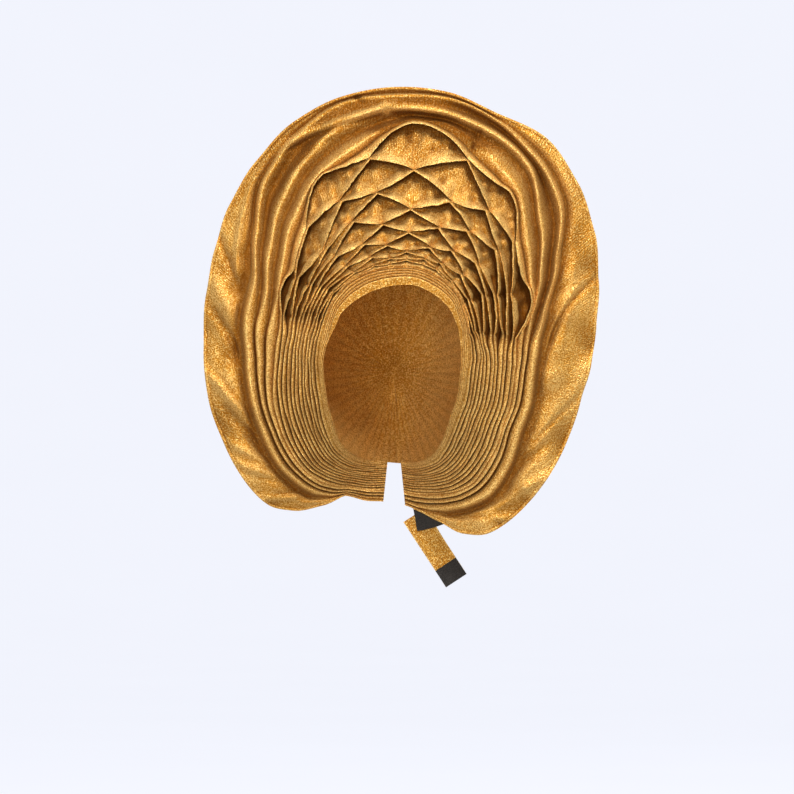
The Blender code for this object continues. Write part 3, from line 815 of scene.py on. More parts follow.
@dataclass(frozen=True)
class Glaze:
    """A colour laid over the cloth: from nothing to its cover as the mask goes from bare to full."""

    mask: str
    bare: float
    full: float
    cover: float
    colour: str


# The glazes by the fold mask paint highlights on fold edges and shade in fold bottoms; the one by the facing
# paints a sheen where the cloth turns from the view; those by threads and flecks are the weave's own colour.
GLAZES = (
    Glaze("Threads", 0.45, 0.85, 0.30, "gleam"),
    Glaze("Threads", 0.50, 0.15, 0.75, "shade"),
    Glaze("Tone", 0.0, 1.0, 0.70, "gleam"),
    Glaze("Facing", 0.07, 0.45, 0.55, "gleam"),
    Glaze("Flecks", 0.45, 0.95, 0.60, "gleam"),
    Glaze("Flecks", 0.35, 0.0, 0.65, "shade"),
    Glaze("Tone", 0.0, -1.0, 0.86, "deep"),
)


@dataclass(frozen=True)
class GoldCloth:
    """Stiff gold cloth with metal threads, with painted highlights along its folds, painted shade deep inside
    them and a painted sheen where it turns from the view.
    """

    name: str
    weave: Weave = Weave()
    # colour of the painted shade in the bottoms of the folds
    deep: Colour = (0.150, 0.040, 0.001)
    shade: Colour = (0.42, 0.150, 0.006)
    body: Colour = (0.69, 0.350, 0.054)
    # pale gold of the bright threads and flecks, also the colour of the painted highlights on fold edges and
    # of the painted sheen
    gleam: Colour = (0.99, 0.68, 0.245)
    metallic: float = 0.62
    specular: float = 0.05
    roughness: tuple[float, float] = (0.56, 0.34)       # between the flecks and on them
    bump: float = 0.85
    thread: float = 0.0007

    def make(self, group: NodeTree) -> Material:
        """Builds the material.

        Args:
            group: The shared weave.

        Returns:
            The material.
        """
        material, kit, shader = blank_material(self.name)
        masks = dict(kit.node("ShaderNodeGroup", self.weave.scales(), node_tree=group).outputs.items())
        # painted light of each point: painted highlight on fold edges, painted shade in fold bottoms
        masks["Tone"] = kit.node("ShaderNodeAttribute", attribute_name="tone").outputs["Fac"]
        # painted sheen: paler where the cloth turns from the view
        masks["Facing"] = kit.node("ShaderNodeLayerWeight").outputs["Facing"]
        base = kit.mix(kit.remap(masks["Clouds"], 0.0, 1.0, 0.40, 1.0), self.shade, self.body)
        for glaze in GLAZES:
            cover = kit.remap(masks[glaze.mask], glaze.bare, glaze.full, 0.0, glaze.cover)
            base = kit.mix(cover, base, getattr(self, glaze.colour))
        kit.feed(shader, {
            "Base Color": base,
            "Roughness": kit.remap(masks["Flecks"], 0.0, 1.0, *self.roughness),
            "Metallic": self.metallic,
            "Specular IOR Level": self.specular,
            "Normal": kit.bump(masks["Height"], self.bump, self.thread),
        })
        return material


@dataclass(frozen=True)
class HookTape:
    """Dark woven tape with a nap of fine hooks or loops."""

    name: str
    weave: Weave = Weave(rib=0.0016, dash=900.0, run=900.0, fleck=1500.0, cloud=120.0)
    colour: Colour = (0.018, 0.016, 0.015)
    lighter: float = 2.6
    roughness: tuple[float, float] = (0.82, 0.97)
    bump: float = 0.9
    nap: float = 0.0008

    def make(self, group: NodeTree) -> Material:
        """Builds the material.

        Args:
            group: The shared weave.

        Returns:
            The material.
        """
        material, kit, shader = blank_material(self.name)
        masks = kit.node("ShaderNodeGroup", self.weave.scales(), node_tree=group).outputs
        light = tuple(self.lighter * part for part in self.colour)
        kit.feed(shader, {
            "Base Color": kit.mix(masks["Flecks"], self.colour, light),
            "Roughness": kit.remap(masks["Clouds"], 0.0, 1.0, *self.roughness),
            "Normal": kit.bump(masks["Height"], self.bump, self.nap),
        })
        return material


def add_grid(name: str, across: int, along: int) -> Object:
    """Adds a flat square grid, one metre wide.

    Args:
        name: Name of the object and of its mesh.
        across: Number of faces across.
        along: Number of faces along.

    Returns:
        The new object, active and alone selected.
    """
    bpy.ops.object.select_all(action="DESELECT")
    bpy.ops.mesh.primitive_grid_add(x_subdivisions=across, y_subdivisions=along, size=1.0)
    made = bpy.context.object
    made.name = name
    made.data.name = name
    return made


@dataclass
class Sheet:
    """A grid of world points, columns first, that becomes one piece of cloth.

    Across is the first axis of its UV map, and the second is the length run along each
    column. The front is -1 where most faces look to the front and 1 where to the back.
    """

    name: str
    points: Array
    across: Array
    tone: Value
    cloth: float
    front: float = -1.0
    crisp: float = 75.0         # degrees past which an edge stays sharp

    def run(self) -> Array:
        """Length run along each column up to each of its points."""
        steps = np.linalg.norm(np.diff(self.points, axis=1), axis=2)
        return np.concatenate([np.zeros((len(steps), 1)), np.cumsum(steps, axis=1)], axis=1)

    def build(self) -> Object:
        """Makes the mesh: a grid laid out by the points, then given its thickness.

        Returns:
            The finished object.
        """
        columns, rows = self.points.shape[:2]
        piece = add_grid(self.name, columns - 1, rows - 1)
        mesh = piece.data
        column = np.array([round((vertex.co.x + 0.5) * (columns - 1)) for vertex in mesh.vertices])
        row = np.array([round((vertex.co.y + 0.5) * (rows - 1)) for vertex in mesh.vertices])
        mesh.vertices.foreach_set("co", self.points[column, row].astype(np.float32).ravel())
        corner = [loop.vertex_index for loop in mesh.loops]
        uv = np.stack([self.across[column, row], self.run()[column, row]], axis=-1)[corner]
        mesh.uv_layers.active.data.foreach_set("uv", uv.astype(np.float32).ravel())
        # painted light of every point, which the gold cloth turns into painted highlights and painted shade
        tone = np.broadcast_to(self.tone, (columns, rows))[column, row]
        mesh.attributes.new("tone", "FLOAT", "POINT").data.foreach_set("value", tone.astype(np.float32))
        mesh.update()
        if self.front * sum(face.normal.y * face.area for face in mesh.polygons) < 0.0:
            bpy.ops.object.mode_set(mode="EDIT")
            bpy.ops.mesh.select_all(action="SELECT")
            bpy.ops.mesh.flip_normals()
            bpy.ops.object.mode_set(mode="OBJECT")
        thick = piece.modifiers.new("cloth", "SOLIDIFY")
        thick.thickness = self.cloth
        thick.offset = -1.0
        bpy.ops.object.modifier_apply(modifier=thick.name)
        bpy.ops.object.shade_smooth_by_angle(angle=math.radians(self.crisp))
        return piece


def dress(sheet: Sheet, finish: Material, slot: Slot, *nodes: str) -> Object:
    """Builds a sheet, gives it its finish and hides the frame's parts that it stands for.

    Args:
        sheet: The sheet.
        finish: Its material.
        slot: Not used.
        nodes: The frame's nodes that it stands for.

    Returns:
        The finished piece.
    """
    piece = sheet.build()
    piece.data.materials.clear()
    piece.data.materials.append(finish)
    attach(piece, "root")
    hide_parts(*nodes)
    LOG.info("%s: %d faces", piece.name, len(piece.data.polygons))
    return piece


@dataclass
class HaloPart:
    """What every part of the halo starts from: its lie, its finish and its crest lines."""

    form: HaloForm
    finish: Material
    lines: PleatLines


@dataclass
class Pleats(HaloPart):
    """The pleats between the brow band and the plain folds."""

    cloth: float = 0.0008
    cell_depth: float = 0.0145
    steep: float = 0.95             # depth of a cell for each metre of its width
    flank_steep: float = 0.5
    shallowest: float = 0.0012
    dark_depth: float = 0.0045      # depth from which a fold's painted shade is full
    lip: float = 0.0058
    lip_share: float = 0.34
    lip_swell: tuple[float, float] = (0.14, 0.8)        # share left on a tack, power of its swelling
    overhang: float = 0.0014
    overhang_share: float = 0.12
    # painted shade laid deep in the narrow cells at both ends of the honeycomb
    flank_painted_shade: float = 0.9
    lip_highlight: float = 0.35          # painted highlight left on a lip at a tack
    puff: float = 0.0021
    puff_width: float = 0.014       # width from which a cell puffs fully
    sag: float = 0.0006
    wrinkles: Ripple = Ripple(0.013, 1.0, 7)
    grain: Ripple = Ripple(0.006, 0.00014, 8)
    # relief at which a dart's painted light is full
    dart_painted_light: float = 0.004
    valley: float = 0.0095
    tuck: tuple[float, float] = (0.0004, 0.0030)        # how far the first row lies inside and behind

    def build(self) -> None:
        """Lays out the sheet from inside out, makes it and dresses it."""
        crests = self.lines.crests()[::-1]
        angle = crests[0][0]
        start = self.form.reach("band", angle)
        rows = [(angle, start - self.tuck[0], self.form.lie(angle, start) + self.tuck[1], -1.0, 0.0)]
        for inner, outer in zip(crests, crests[1:]):
            rows += self.pleat(inner, outer)
        rows += self.outer_edge(crests[-1])
        angle, reach, depth, tone, puff = stacked(rows)
        x, z = self.form.flat(angle, reach)
        folds = self.wrinkles.over(x, z)
        depth = depth + puff * (self.puff * folds - self.sag)
        # painted light on the wrinkles: painted highlight where they bulge forward, painted shade where they
        # sink back
        tone = tone - 0.30 * puff * np.clip(folds, -1.5, 1.0)
        for dart in CELL_DARTS:
            relief = clamp(2.0 * puff) * dart.relief(x, z)
            depth = depth - relief
            # painted highlight on raised darts, painted shade in sunken ones
            tone = tone + np.clip(relief / self.dart_painted_light, -0.9, 0.7)
        depth = depth + self.grain.over(x, z)
        sheet = Sheet("pleat_cloth", self.form.world(angle, reach, depth), angle, tone, self.cloth)
        piece = dress(sheet, self.finish, Slot.GOLD, "pleats")

    def pleat(self, inner: Line, outer: Line) -> Rows:
        """Rows of one pleat.

        Args:
            inner: Its inner crest.
            outer: Its outer crest.

        Returns:
            For each row its angle, reach, depth, painted light and share of the cell's puff.
        """
        top = self.lines.top
        swell = self.lines.swell
        flank = self.lines.flank
        gap = outer[1] - inner[1]
        swelling = blend(self.lip_swell[0], 1.0, swell ** self.lip_swell[1])
        lip = np.minimum(self.lip * swelling, self.lip_share * gap)
        over = np.minimum(self.overhang, self.overhang_share * gap)
        deep = np.minimum(self.cell_depth, (self.steep + self.flank_steep * flank) * gap + self.shallowest)
        lit = blend(self.lip_highlight, 1.0, np.maximum(swell, 1.0 - top))
        offset_in = inner[2] - self.form.lie(inner[0], inner[1])
        offset_out = outer[2] - self.form.lie(outer[0], outer[1])
        rows = []
        for row in PLEAT_ROWS:
            run = blend(row.side * gap, row.lip * lip + row.rest * (gap - lip) + row.over * over, top)
            share = run / gap
            tone = blend(row.side_painted_light, row.tone, top)
            # painted shade deepened in the narrow cells at the ends and weaker in shallow folds; painted
            # highlight on the lips dimmed at the tacks
            if row.lip >= 1.0 and row.sink > 0.4:
                tone = tone - self.flank_painted_shade * (1.0 - row.over) * flank
            tone = np.where(tone < 0.0, tone * clamp(deep / self.dark_depth), tone * lit)
            puff = np.sin(math.pi * clamp(share)) * clamp(gap / self.puff_width) * top
            angle = blend(inner[0], outer[0], share)
            offset = offset_in * (1.0 - smooth(share / 0.45)) + offset_out * smooth((share - 0.55) / 0.45)
            sink = offset + deep * blend(row.side_sink, row.sink, top)
            reach = inner[1] + run
            rows.append((angle, reach, self.form.lie(angle, reach) + sink, tone, puff))
        return rows

    def outer_edge(self, crest: Line) -> Rows:
        """Rows from the outermost crest down into the valley outside it.

        Args:
            crest: The crest.

        Returns:
            For each row its angle, reach, depth, painted light and share of the cell's puff.
        """
        angle, reach, depth = crest
        top = self.lines.top
        seam = self.seam(angle, reach)
        rows = []
        for row in EDGE_ROWS:
            sunk = blend(depth, seam[1], blend(row.side_sink, row.sink, top))
            tone = blend(row.side_painted_light, row.tone, top)
            rows.append((angle, blend(reach, seam[0], row.share), sunk, tone, 0.0))
        return rows

    def seam(self, angle: Array, outermost: Array) -> tuple[Array, Array]:
        """The valley outside the outermost crest.

        Args:
            angle: Angles in degrees.
            outermost: Reach of the outermost crest.

        Returns:
            The valley's reach and depth.
        """
        top = self.lines.top
        crest = self.form.reach("crest", angle)
        width = self.form.reach("mid", angle) - crest
        least = self.shallowest + 0.0030 * top
        reach = np.maximum(crest + width * (0.24 + 0.26 * top), outermost + least)
        sink = np.minimum(self.valley, (1.1 - 0.3 * top) * width + least)
        return reach, self.form.lie(angle, reach) + sink


@dataclass
class Halo(HaloPart):
    """The plain folds and the brim, one continuous sheet out to its hem."""

    pleats: Pleats
    cloth: float = 0.0009
    fold_step: float = 0.0020
    narrow: float = 0.0080
    shallow: float = 0.0085
    deep: float = 0.0150
    side_steep: float = 1.1
    ridge: float = 0.0032           # half width of a fold's lit edge
    dark_depth: float = 0.009       # depth from which a fold's painted shade is full
    tuck: float = 0.0030            # how far the sheet starts under the pleats
    tuck_depth: float = 0.0012
    stray: float = 0.0011
    valley: tuple[float, float] = (0.008, 0.3)      # most width beside the last fold, share of the brim
    valley_depth: tuple[float, float] = (0.0030, 0.0065)
    valley_share: float = 0.42      # share of the brim over which the valley rises again
    notch: Span = (172.0, 204.0, 8.0)               # where the first fold lies sunk
    notch_depth: float = 0.0085
    step: Span = (196.0, 232.0, 8.0)
    step_depth: float = 0.0025
    ridge_span: Span = (160.0, 196.0, 9.0)          # where one ridge alone runs over the top
    far_right: Span = (194.0, 262.0, 16.0)
    # where painted shadow darkens the top beyond the main ridge, and how strongly
    shadow: Span = (135.0, 218.0, 28.0)
    shadow_tone: float = 0.60
    brim_gain: float = 1.05
    # relief at which the painted light on the brim's creases and on the folds' darts is full
    brim_painted_light: float = 0.006
    fold_painted_light: float = 0.004
    billows: tuple[Ripple, ...] = (Ripple(0.070, 0.0016, 21), Ripple(0.030, 0.0006, 24))
    grain: tuple[Ripple, ...] = (Ripple(0.024, 0.0004, 22), Ripple(0.008, 0.00012, 23))
    hem: float = 0.0030
    hem_rise: float = 0.0010
    # painted highlight along the hem and painted shade in the groove inside it
    hem_highlight: float = 0.35
    groove: float = 0.0006
    groove_shade: float = 0.5
    rise_rows: int = 7
    fall_rows: int = 8
    brim_rows: int = 56
    reaches: list[Array] = field(init=False)
    depths: list[Array] = field(init=False)

    def __post_init__(self) -> None:
        """Works out the reach and depth of each key line."""
        angle = self.lines.outer
        start, sunk = self.pleats.seam(angle, self.lines.crests()[0][1])
        self.reaches = [start - self.tuck]
        for fold, name in enumerate(("mid", "one", "two"), 1):
            wave = np.sin(0.19 * angle + 2.1 * fold) * np.sin(0.071 * angle + fold)
            reach = self.form.reach(name, angle) + self.stray * self.lines.top * wave
            self.reaches.append(np.maximum(reach, self.reaches[-1] + self.fold_step))
        rim = self.form.reach("rim", angle)
        width = rim - self.reaches[Key.TWO]
        across = np.maximum(np.minimum(self.valley[0], self.valley[1] * width), self.tuck_depth)
        self.reaches.append(self.reaches[Key.TWO] + across)
        self.reaches.append(np.maximum(rim, self.reaches[Key.VALLEY] + self.fold_step))
        self.depths = [self.form.lie(angle, reach) for reach in self.reaches]
        self.depths[Key.SEAM] = sunk + self.tuck_depth
        self.depths[Key.MID] += self.notch_depth * window(angle, *self.notch)
        self.depths[Key.MID] += self.step_depth * window(angle, *self.step)
        room = smooth((self.reaches[Key.RIM] - self.reaches[Key.TWO] - self.valley[0]) / 0.03)
        least, more = self.valley_depth
        self.depths[Key.VALLEY] += least + more * room * (1.0 - 0.7 * self.alone())

    def alone(self) -> Array:
        """1 where only one ridge runs over the top, 0 elsewhere."""
        return window(self.lines.outer, *self.ridge_span)

    def between(self, key: Key, share: Value, drop: Value, tone: Array) -> tuple[Array, ...]:
        """One row between a key line and the next, at shares of the way out and down."""
        reach = blend(self.reaches[key], self.reaches[key + 1], share)
        return reach, blend(self.depths[key], self.depths[key + 1], drop), tone

    def climb(self) -> Rows:
        """Climbs from the seam up to the first fold.

        Returns:
            For each row its reach, its depth and its painted light.
        """
        top = self.lines.top
        # painted shade at the seam turning to a painted highlight towards the first fold, kept dim where that
        # fold lies sunk
        bright = 1.6 * (1.0 - 0.9 * window(self.lines.outer, *self.notch))
        rows = []
        for share in np.arange(self.rise_rows) / self.rise_rows:
            _, sink, tone = side_profile(blend(VALLEY_AT, 1.0, share))
            rise = blend(1.0 - sink, math.sin(0.5 * math.pi * share) ** 0.9, top)
            rows.append(self.between(Key.SEAM, share, rise, blend(tone, bright * share - 1.0, top)))
        return rows

    def fold(self, key: Key, place: Array, most: Value, steep: Array) -> Rows:
        """Rows of the fold between one crest and the next.

        Args:
            key: The crest that it starts from.
            place: Where its bottom lies, as a share of its width.
            most: Its greatest depth over the top.
            steep: Its depth over the top for each metre of its width.

        Returns:
            For each row its reach, its depth and its painted light.
        """
        angle = self.lines.outer
        top = self.lines.top
        notch = window(angle, *self.notch)
        broad = 1.0 - 0.28 * smooth((150.0 - angle) / 30.0)
        width = self.reaches[key + 1] - self.reaches[key]
        room = blend(self.side_steep, steep, top) * width + MILLIMETRE
        sink = np.minimum(blend(self.narrow, most, top), room)
        # painted shade in the fold's bottom, full once the fold is deep
        dark = 0.70 * clamp(sink / self.dark_depth)
        rows = []
        for row in range(2 * self.fall_rows):
            down = row < self.fall_rows
            part = row / self.fall_rows if down else 2.0 - row / self.fall_rows
            run = part * (place if down else 1.0 - place)
            shape = math.sin(0.5 * math.pi * part) ** (1.0 + top)
            # painted highlight along the crest; painted shade instead where the first fold lies sunk
            ridge = 1.0 - smooth(run * width / self.ridge)
            if key == Key.MID and down:
                ridge = blend(ridge, -0.9, notch)
            side_share, side_sink, side_painted_light = side_profile(0.5 * row / self.fall_rows)
            share = blend(side_share ** broad, run if down else 1.0 - run, top)
            tone = blend(side_painted_light, 1.25 * ridge - 0.30 - dark * shape ** 2, top)
            reach, depth, tone = self.between(key, share, share, tone)
            rows.append((reach, depth + sink * blend(side_sink, shape, top), tone))
        return rows

    def fall(self) -> Rows:
        """Falls from the last fold down into the brim's valley.

        Returns:
            For each row its reach, its depth and its tone.
        """
        top = self.lines.top
        # painted shade down into the brim's valley, weaker where one ridge runs alone
        dark = 1.9 * clamp((self.depths[Key.VALLEY] - self.depths[Key.TWO]) / 0.008)
        rows = []
        for share in np.arange(self.rise_rows) / self.rise_rows:
            _, sink, tone = side_profile(VALLEY_AT * share)
            drop = math.sin(0.5 * math.pi * share) ** 1.4
            tone = blend(0.8 * tone, 1.0 - dark * drop, top) * (1.0 - 0.8 * self.alone())
            rows.append(self.between(Key.TWO, share, blend(sink, drop, top), tone))
        return rows

    def folds(self) -> Rows:
        """Lays out the plain folds, from the seam to the brim's valley.

        Returns:
            For each row its reach, its depth and its painted light.
        """
        angle = self.lines.outer
        top = self.lines.top
        place = 0.24 + 0.24 * top
        right = smooth((angle - 186.0) / 16.0) * top
        far = window(angle, *self.far_right)
        most = blend(self.shallow, self.deep, far) * (1.0 - 0.85 * self.alone())
        first = self.fold(Key.MID, place + 0.22 * right, self.shallow, 0.75 - 0.1 * top)
        second = self.fold(Key.ONE, place + 0.12 * right, most, 0.60 + 0.15 * far)
        return self.climb() + first + second + self.fall()

    def brim(self) -> Rows:
        """Lays out the brim, from its valley to the rim.

        Returns:
            For each row its reach, its depth and its painted light.
        """
        angle = self.lines.outer
        sunk = self.depths[Key.VALLEY] - self.form.lie(angle, self.reaches[Key.VALLEY])
        # painted shade in the brim's valley
        dark = 0.9 * clamp(sunk / self.dark_depth)
        rows = []
        for share in np.arange(self.brim_rows + 1) / self.brim_rows:
            reach = blend(self.reaches[Key.VALLEY], self.reaches[Key.RIM], share)
            past = 1.0 - smooth(share / self.valley_share)
            sink = sunk * past * (1.0 - 0.3 * math.sin(math.pi * min(1.0, share / self.valley_share)))
            rows.append((reach, self.form.lie(angle, reach) + sink, -dark * past ** 2))
        return rows

    def build(self) -> None:
        """Lays out the sheet with its creases, billows and hem, makes it and dresses it."""
        reach, depth, tone = stacked(self.folds() + self.brim())
        angle = np.broadcast_to(self.lines.outer[:, None], reach.shape)
        keys = (Key.SEAM, Key.ONE, Key.VALLEY, Key.RIM)
        seam, one, valley, rim = (self.reaches[key][:, None] for key in keys)
        x, z = self.form.flat(angle, reach)
        brim = smooth((reach - valley) / 0.006) * clamp((rim - valley) / 0.030)
        relief = self.brim_gain * relief_of(BRIM_CREASES, x, z)
        relief = relief + sum(wave.over(x, z) for wave in self.billows)
        depth = depth - brim * relief
        # painted light on the brim's creases: painted highlight on ridges, painted shade in hollows
        tone = tone + brim * np.clip(relief / self.brim_painted_light, -0.5, 0.5)
        # painted shadow over the top beyond the main ridge
        tone = tone - self.shadow_tone * window(angle, *self.shadow) * smooth((reach - one) / 0.004 - 0.5)
        folded = smooth((reach - seam) / 0.003) * self.lines.top[:, None]
        darts = relief_of(FOLD_CREASES, x, z)
        depth = depth - folded * darts
        # painted light on the folds' darts: painted highlight on ridges, painted shade in hollows
        tone = tone + folded * np.clip(darts / self.fold_painted_light, -0.9, 0.9)
        edge = smooth((reach - rim + self.hem) / (0.4 * self.hem))
        depth = depth + sum(wave.over(x, z) for wave in self.grain) - self.hem_rise * edge
        # painted highlight on the hem and painted shade in the groove inside it
        groove = bell(reach - rim, -1.15 * self.hem, self.groove)
        tone = np.clip(tone + self.hem_highlight * edge - self.groove_shade * groove, -1.0, 1.0)
        sheet = Sheet("halo_cloth", self.form.world(angle, reach, depth), angle, tone, self.cloth)
        piece = dress(sheet, self.finish, Slot.GOLD, "outer_folds", "brim")


@dataclass
class BrowBand(HaloPart):
    """The finely layered band round the face opening."""

    cloth: float = 0.0012
    turn_in: float = 0.0035         # how far its inner edge turns back
    turn_width: float = 0.0022
    under: float = 0.0006           # how far it runs under the pleats
    swell: float = 0.0014
    layer: float = 0.0020           # depth of a step between layers
    full_width: float = 0.016       # width at which the steps have their full depth
    layers: int = 4
    plain_rows: int = 7
    plain: tuple[float, float] = (0.02, 0.38)           # plain share at the sides, more over the top
    wobble: Ripple = Ripple(0.050, 0.0004, 31)
    turned: tuple[tuple[float, float], ...] = ((0.9, 1.0), (0.35, 0.62), (0.05, 0.26), (0.0, 0.08))
    profile: tuple[Span, ...] = (       # place in a layer, depth of the step, painted light
        (0.0, 0.0, 0.9), (0.16, 0.30, 0.3), (0.26, 1.0, -1.0), (0.38, 0.80, -0.4), (0.62, 0.35, 0.25),
    )

    def build(self) -> None:
        """Lays out the band from its turned-in edge outward, makes it and dresses it."""
        angle = self.lines.angle(CRESTS - 1)
        inner = self.form.reach("face", angle)
        width = self.form.reach("band", angle) + self.under - inner
        plain = self.plain[1] * self.lines.top + self.plain[0]
        wobble = self.wobble.over(angle * 0.0019, inner)
        rows = []
        for share, back in self.turned:
            depth = self.form.lie(angle, inner) + self.turn_in * back
            # painted shade on the turned-in edge
            rows.append((inner + self.turn_width * share, depth, -0.5))
        # painted light: a little darker over the plain part, painted highlight on each layer's edge and
        # painted shade in the step below it
        places = [(0.0, 0.0, 0.3)]
        places += [(plain * row / self.plain_rows, 0.0, -0.2) for row in range(1, self.plain_rows)]
        for layer in range(self.layers):
            for part, step, tone in self.profile:
                places.append((blend(plain, 1.0, (layer + part) / self.layers), step, tone))
        places.append((1.0, 0.6, -0.6))
        for share, step, tone in places:
            reach = inner + width * share
            bulge = np.sin(math.pi * share)
            sink = self.under * share + self.layer * step * width / self.full_width - self.swell * bulge
            rows.append((reach + wobble * bulge, self.form.lie(angle, reach) + sink, tone))
        reach, depth, tone = stacked(rows)
        wide = np.broadcast_to(angle[:, None], reach.shape)
        sheet = Sheet("brow_band_cloth", self.form.world(wide, reach, depth), wide, tone, self.cloth)
        piece = dress(sheet, self.finish, Slot.GOLD, "brow_band")


@dataclass
class CrownWrap:
    """Plain cloth over the crown and the back of the head, gathered at the back."""

    form: HaloForm
    finish: Material
    depth: float = 0.115
    rise: float = 0.030
    inset: float = 0.003
    behind_band: float = 0.0023
    cloth: float = 0.0010
    columns: int = 300
    rows: int = 80
    gathers: int = 46
    gather_depth: float = 0.0005
    sweeps: int = 9
    sweep_depth: float = 0.0016

    def place(self, angle: Array, share: Array, fold: Array) -> Array:
        """World points of the wrap.

        Args:
            angle: Angles in degrees.
            share: 0 at the back of the brow band, 1 at the back of the head.
            fold: How far the cloth lies inside the plain form.

        Returns:
            An array whose last axis holds x, y and z.
        """
        reach = self.form.reach("face", angle) + self.inset
        depth = self.form.lie(angle, reach) + self.behind_band
        begin = np.arcsin(depth / self.depth)
        turn = blend(begin, 0.5 * math.pi, share)
        out = np.maximum((reach / np.cos(begin) - fold) * np.cos(turn), 0.0)
        back = np.maximum((self.depth - fold) * np.sin(turn), depth)
        points = self.form.world(angle, out, back)
        points[..., 2] += self.rise * share * share
        return points

    def build(self) -> None:
        """Makes and dresses the wrap."""
        start = STATIONS[-1].angle - FULL_TURN
        angle, share = lattice((start, start + FULL_TURN, self.columns + 1), (0.0, 1.0, self.rows + 1))
        turn = np.radians(angle)
        gather = 0.5 + 0.5 * np.sin(turn * self.gathers + 2.0 * np.sin(3.0 * turn))
        sweep = 0.5 + 0.5 * np.sin(turn * self.sweeps + 5.0 * share)
        gathered = smooth(share / 0.12) * (1.0 - 0.9 * smooth((share - 0.75) / 0.25))
        swept = smooth(share / 0.2) * (1.0 - smooth((share - 0.7) / 0.3))
        fold = self.gather_depth * gather * gathered + self.sweep_depth * sweep * swept
        points = self.place(angle, share, fold)
        # painted light along the gathers: darker overall, less dark where the cloth is gathered in
        sheet = Sheet("crown_cloth", points, 0.6 * angle, 0.25 * gather - 0.2, self.cloth, front=1.0)
        piece = dress(sheet, self.finish, Slot.GOLD, "crown_wrap")


@dataclass
class Strap:
    """The free tie strap at the nape with its two dark tapes."""

    form: HaloForm
    gold: Material
    tape: Material
    top: tuple[float, float] = (0.064, -0.378)
    tip: tuple[float, float] = (0.2035, -0.591)
    width: float = 0.025
    across: tuple[float, float] = (-0.5, 0.5)
    cloth: float = 0.0014
    tape_cloth: float = 0.0010
    behind: float = 0.0072          # how far the loop tape lies behind the smooth halo
    seat_gap: float = 0.0015        # from the loop tape to the strap
    tab_gap: float = 0.0015         # from the strap to the hook tape
    sway: float = 0.003
    stitch: float = 0.0004
    slub: Ripple = Ripple(0.018, 0.00025, 51)
    slub_length: float = 0.08
    pad_angles: tuple[float, float] = (338.5, 350.0)
    pad_reaches: tuple[float, float] = (0.345, 0.436)
    tab: tuple[float, float] = (0.75, 1.0)          # share of the strap that carries the hook tape

    def lay(self, share: Array, across: Array) -> Array:
        """World points of the strap's front.

        Args:
            share: 0 at the strap's top, 1 at its tip.
            across: -0.5 to 0.5 across its width.

        Returns:
            An array whose last axis holds x, y and z.
        """
        top = np.array(self.top) * self.form.halo_reach
        run = np.array(self.tip) * self.form.halo_reach - top
        side = self.width / float(np.hypot(*run)) * across
        x = top[0] + run[0] * share + run[1] * side
        z = top[1] + run[1] * share - run[0] * side
        angle = np.degrees(np.arctan2(-x, -z)) % FULL_TURN
        reach = np.minimum(np.hypot(x, z), 0.42 * self.form.halo_reach)
        held = self.form.lie(angle, reach) + self.behind + self.seat_gap
        free = 0.80 * self.form.lean + self.sway * np.sin(3.0 * share)
        return np.stack([x, blend(held, free, smooth(share / 0.8)), z - self.form.seat], axis=-1)

    def build_strap(self) -> None:
        """Makes the strap, with a hem along both edges."""
        share, across = lattice((0.0, 1.0, 91), (*self.across, 31))
        points = self.lay(share, across)
        points[..., 1] += self.stitch * bell(np.abs(across), 0.40, 0.025)
        points[..., 1] += self.slub.over(share * self.slub_length, across * self.width)
        # painted highlight along both edges
        edges = smooth((np.abs(across) - 0.42) / 0.06)
        sheet = Sheet("tie_strap_cloth", points, across * 8.0, edges, self.cloth)
        piece = dress(sheet, self.gold, Slot.GOLD, "tie_strap")

    def build_tab(self) -> None:
        """Makes the hook tape on the strap's tip, stitched round its edge."""
        share, across = lattice((*self.tab, 41), (*self.across, 41))
        points = self.lay(share, across)
        edge = np.maximum(off_middle(across, self.across), off_middle(share, self.tab))
        points[..., 1] += self.stitch * bell(edge, 0.86, 0.035) - self.tab_gap
        sheet = Sheet("strap_hook_tape", points, across * self.width, 0.0, self.tape_cloth)
        piece = dress(sheet, self.tape, Slot.TAPE, "strap_tab")

    def build_pad(self) -> None:
        """Makes the loop tape behind the nape, stitched round its edge."""
        angle, share = lattice((*self.pad_angles, 45), (*self.pad_reaches, 45))
        reach = share * self.form.halo_reach
        edge = np.maximum(off_middle(angle, self.pad_angles), off_middle(share, self.pad_reaches))
        depth = self.form.lie(angle, reach) + self.behind + self.stitch * bell(edge, 0.88, 0.03)
        points = self.form.world(angle, reach, depth)
        sheet = Sheet("nape_loop_tape", points, angle * 0.002, 0.0, self.tape_cloth)
        piece = dress(sheet, self.tape, Slot.TAPE, "nape_pad")


@dataclass(frozen=True)
class Lamp:
    """A square soft light: its place and side in metres, its power in watts, its colour."""

    name: str
    place: tuple[float, float, float]
    size: float
    power: float
    colour: Colour


LAMPS = (
    Lamp("key_light", (0.9, -2.4, 2.4), 0.8, 80.0, (1.0, 0.97, 0.92)),
    Lamp("top_light", (0.3, -0.9, 2.6), 1.5, 38.0, (1.0, 0.97, 0.93)),
    Lamp("fill_light", (-0.9, -3.3, 0.1), 1.6, 62.0, (1.0, 0.97, 0.93)),
    Lamp("back_light", (0.8, 2.6, 1.4), 1.4, 44.0, (1.0, 0.98, 0.95)),
)


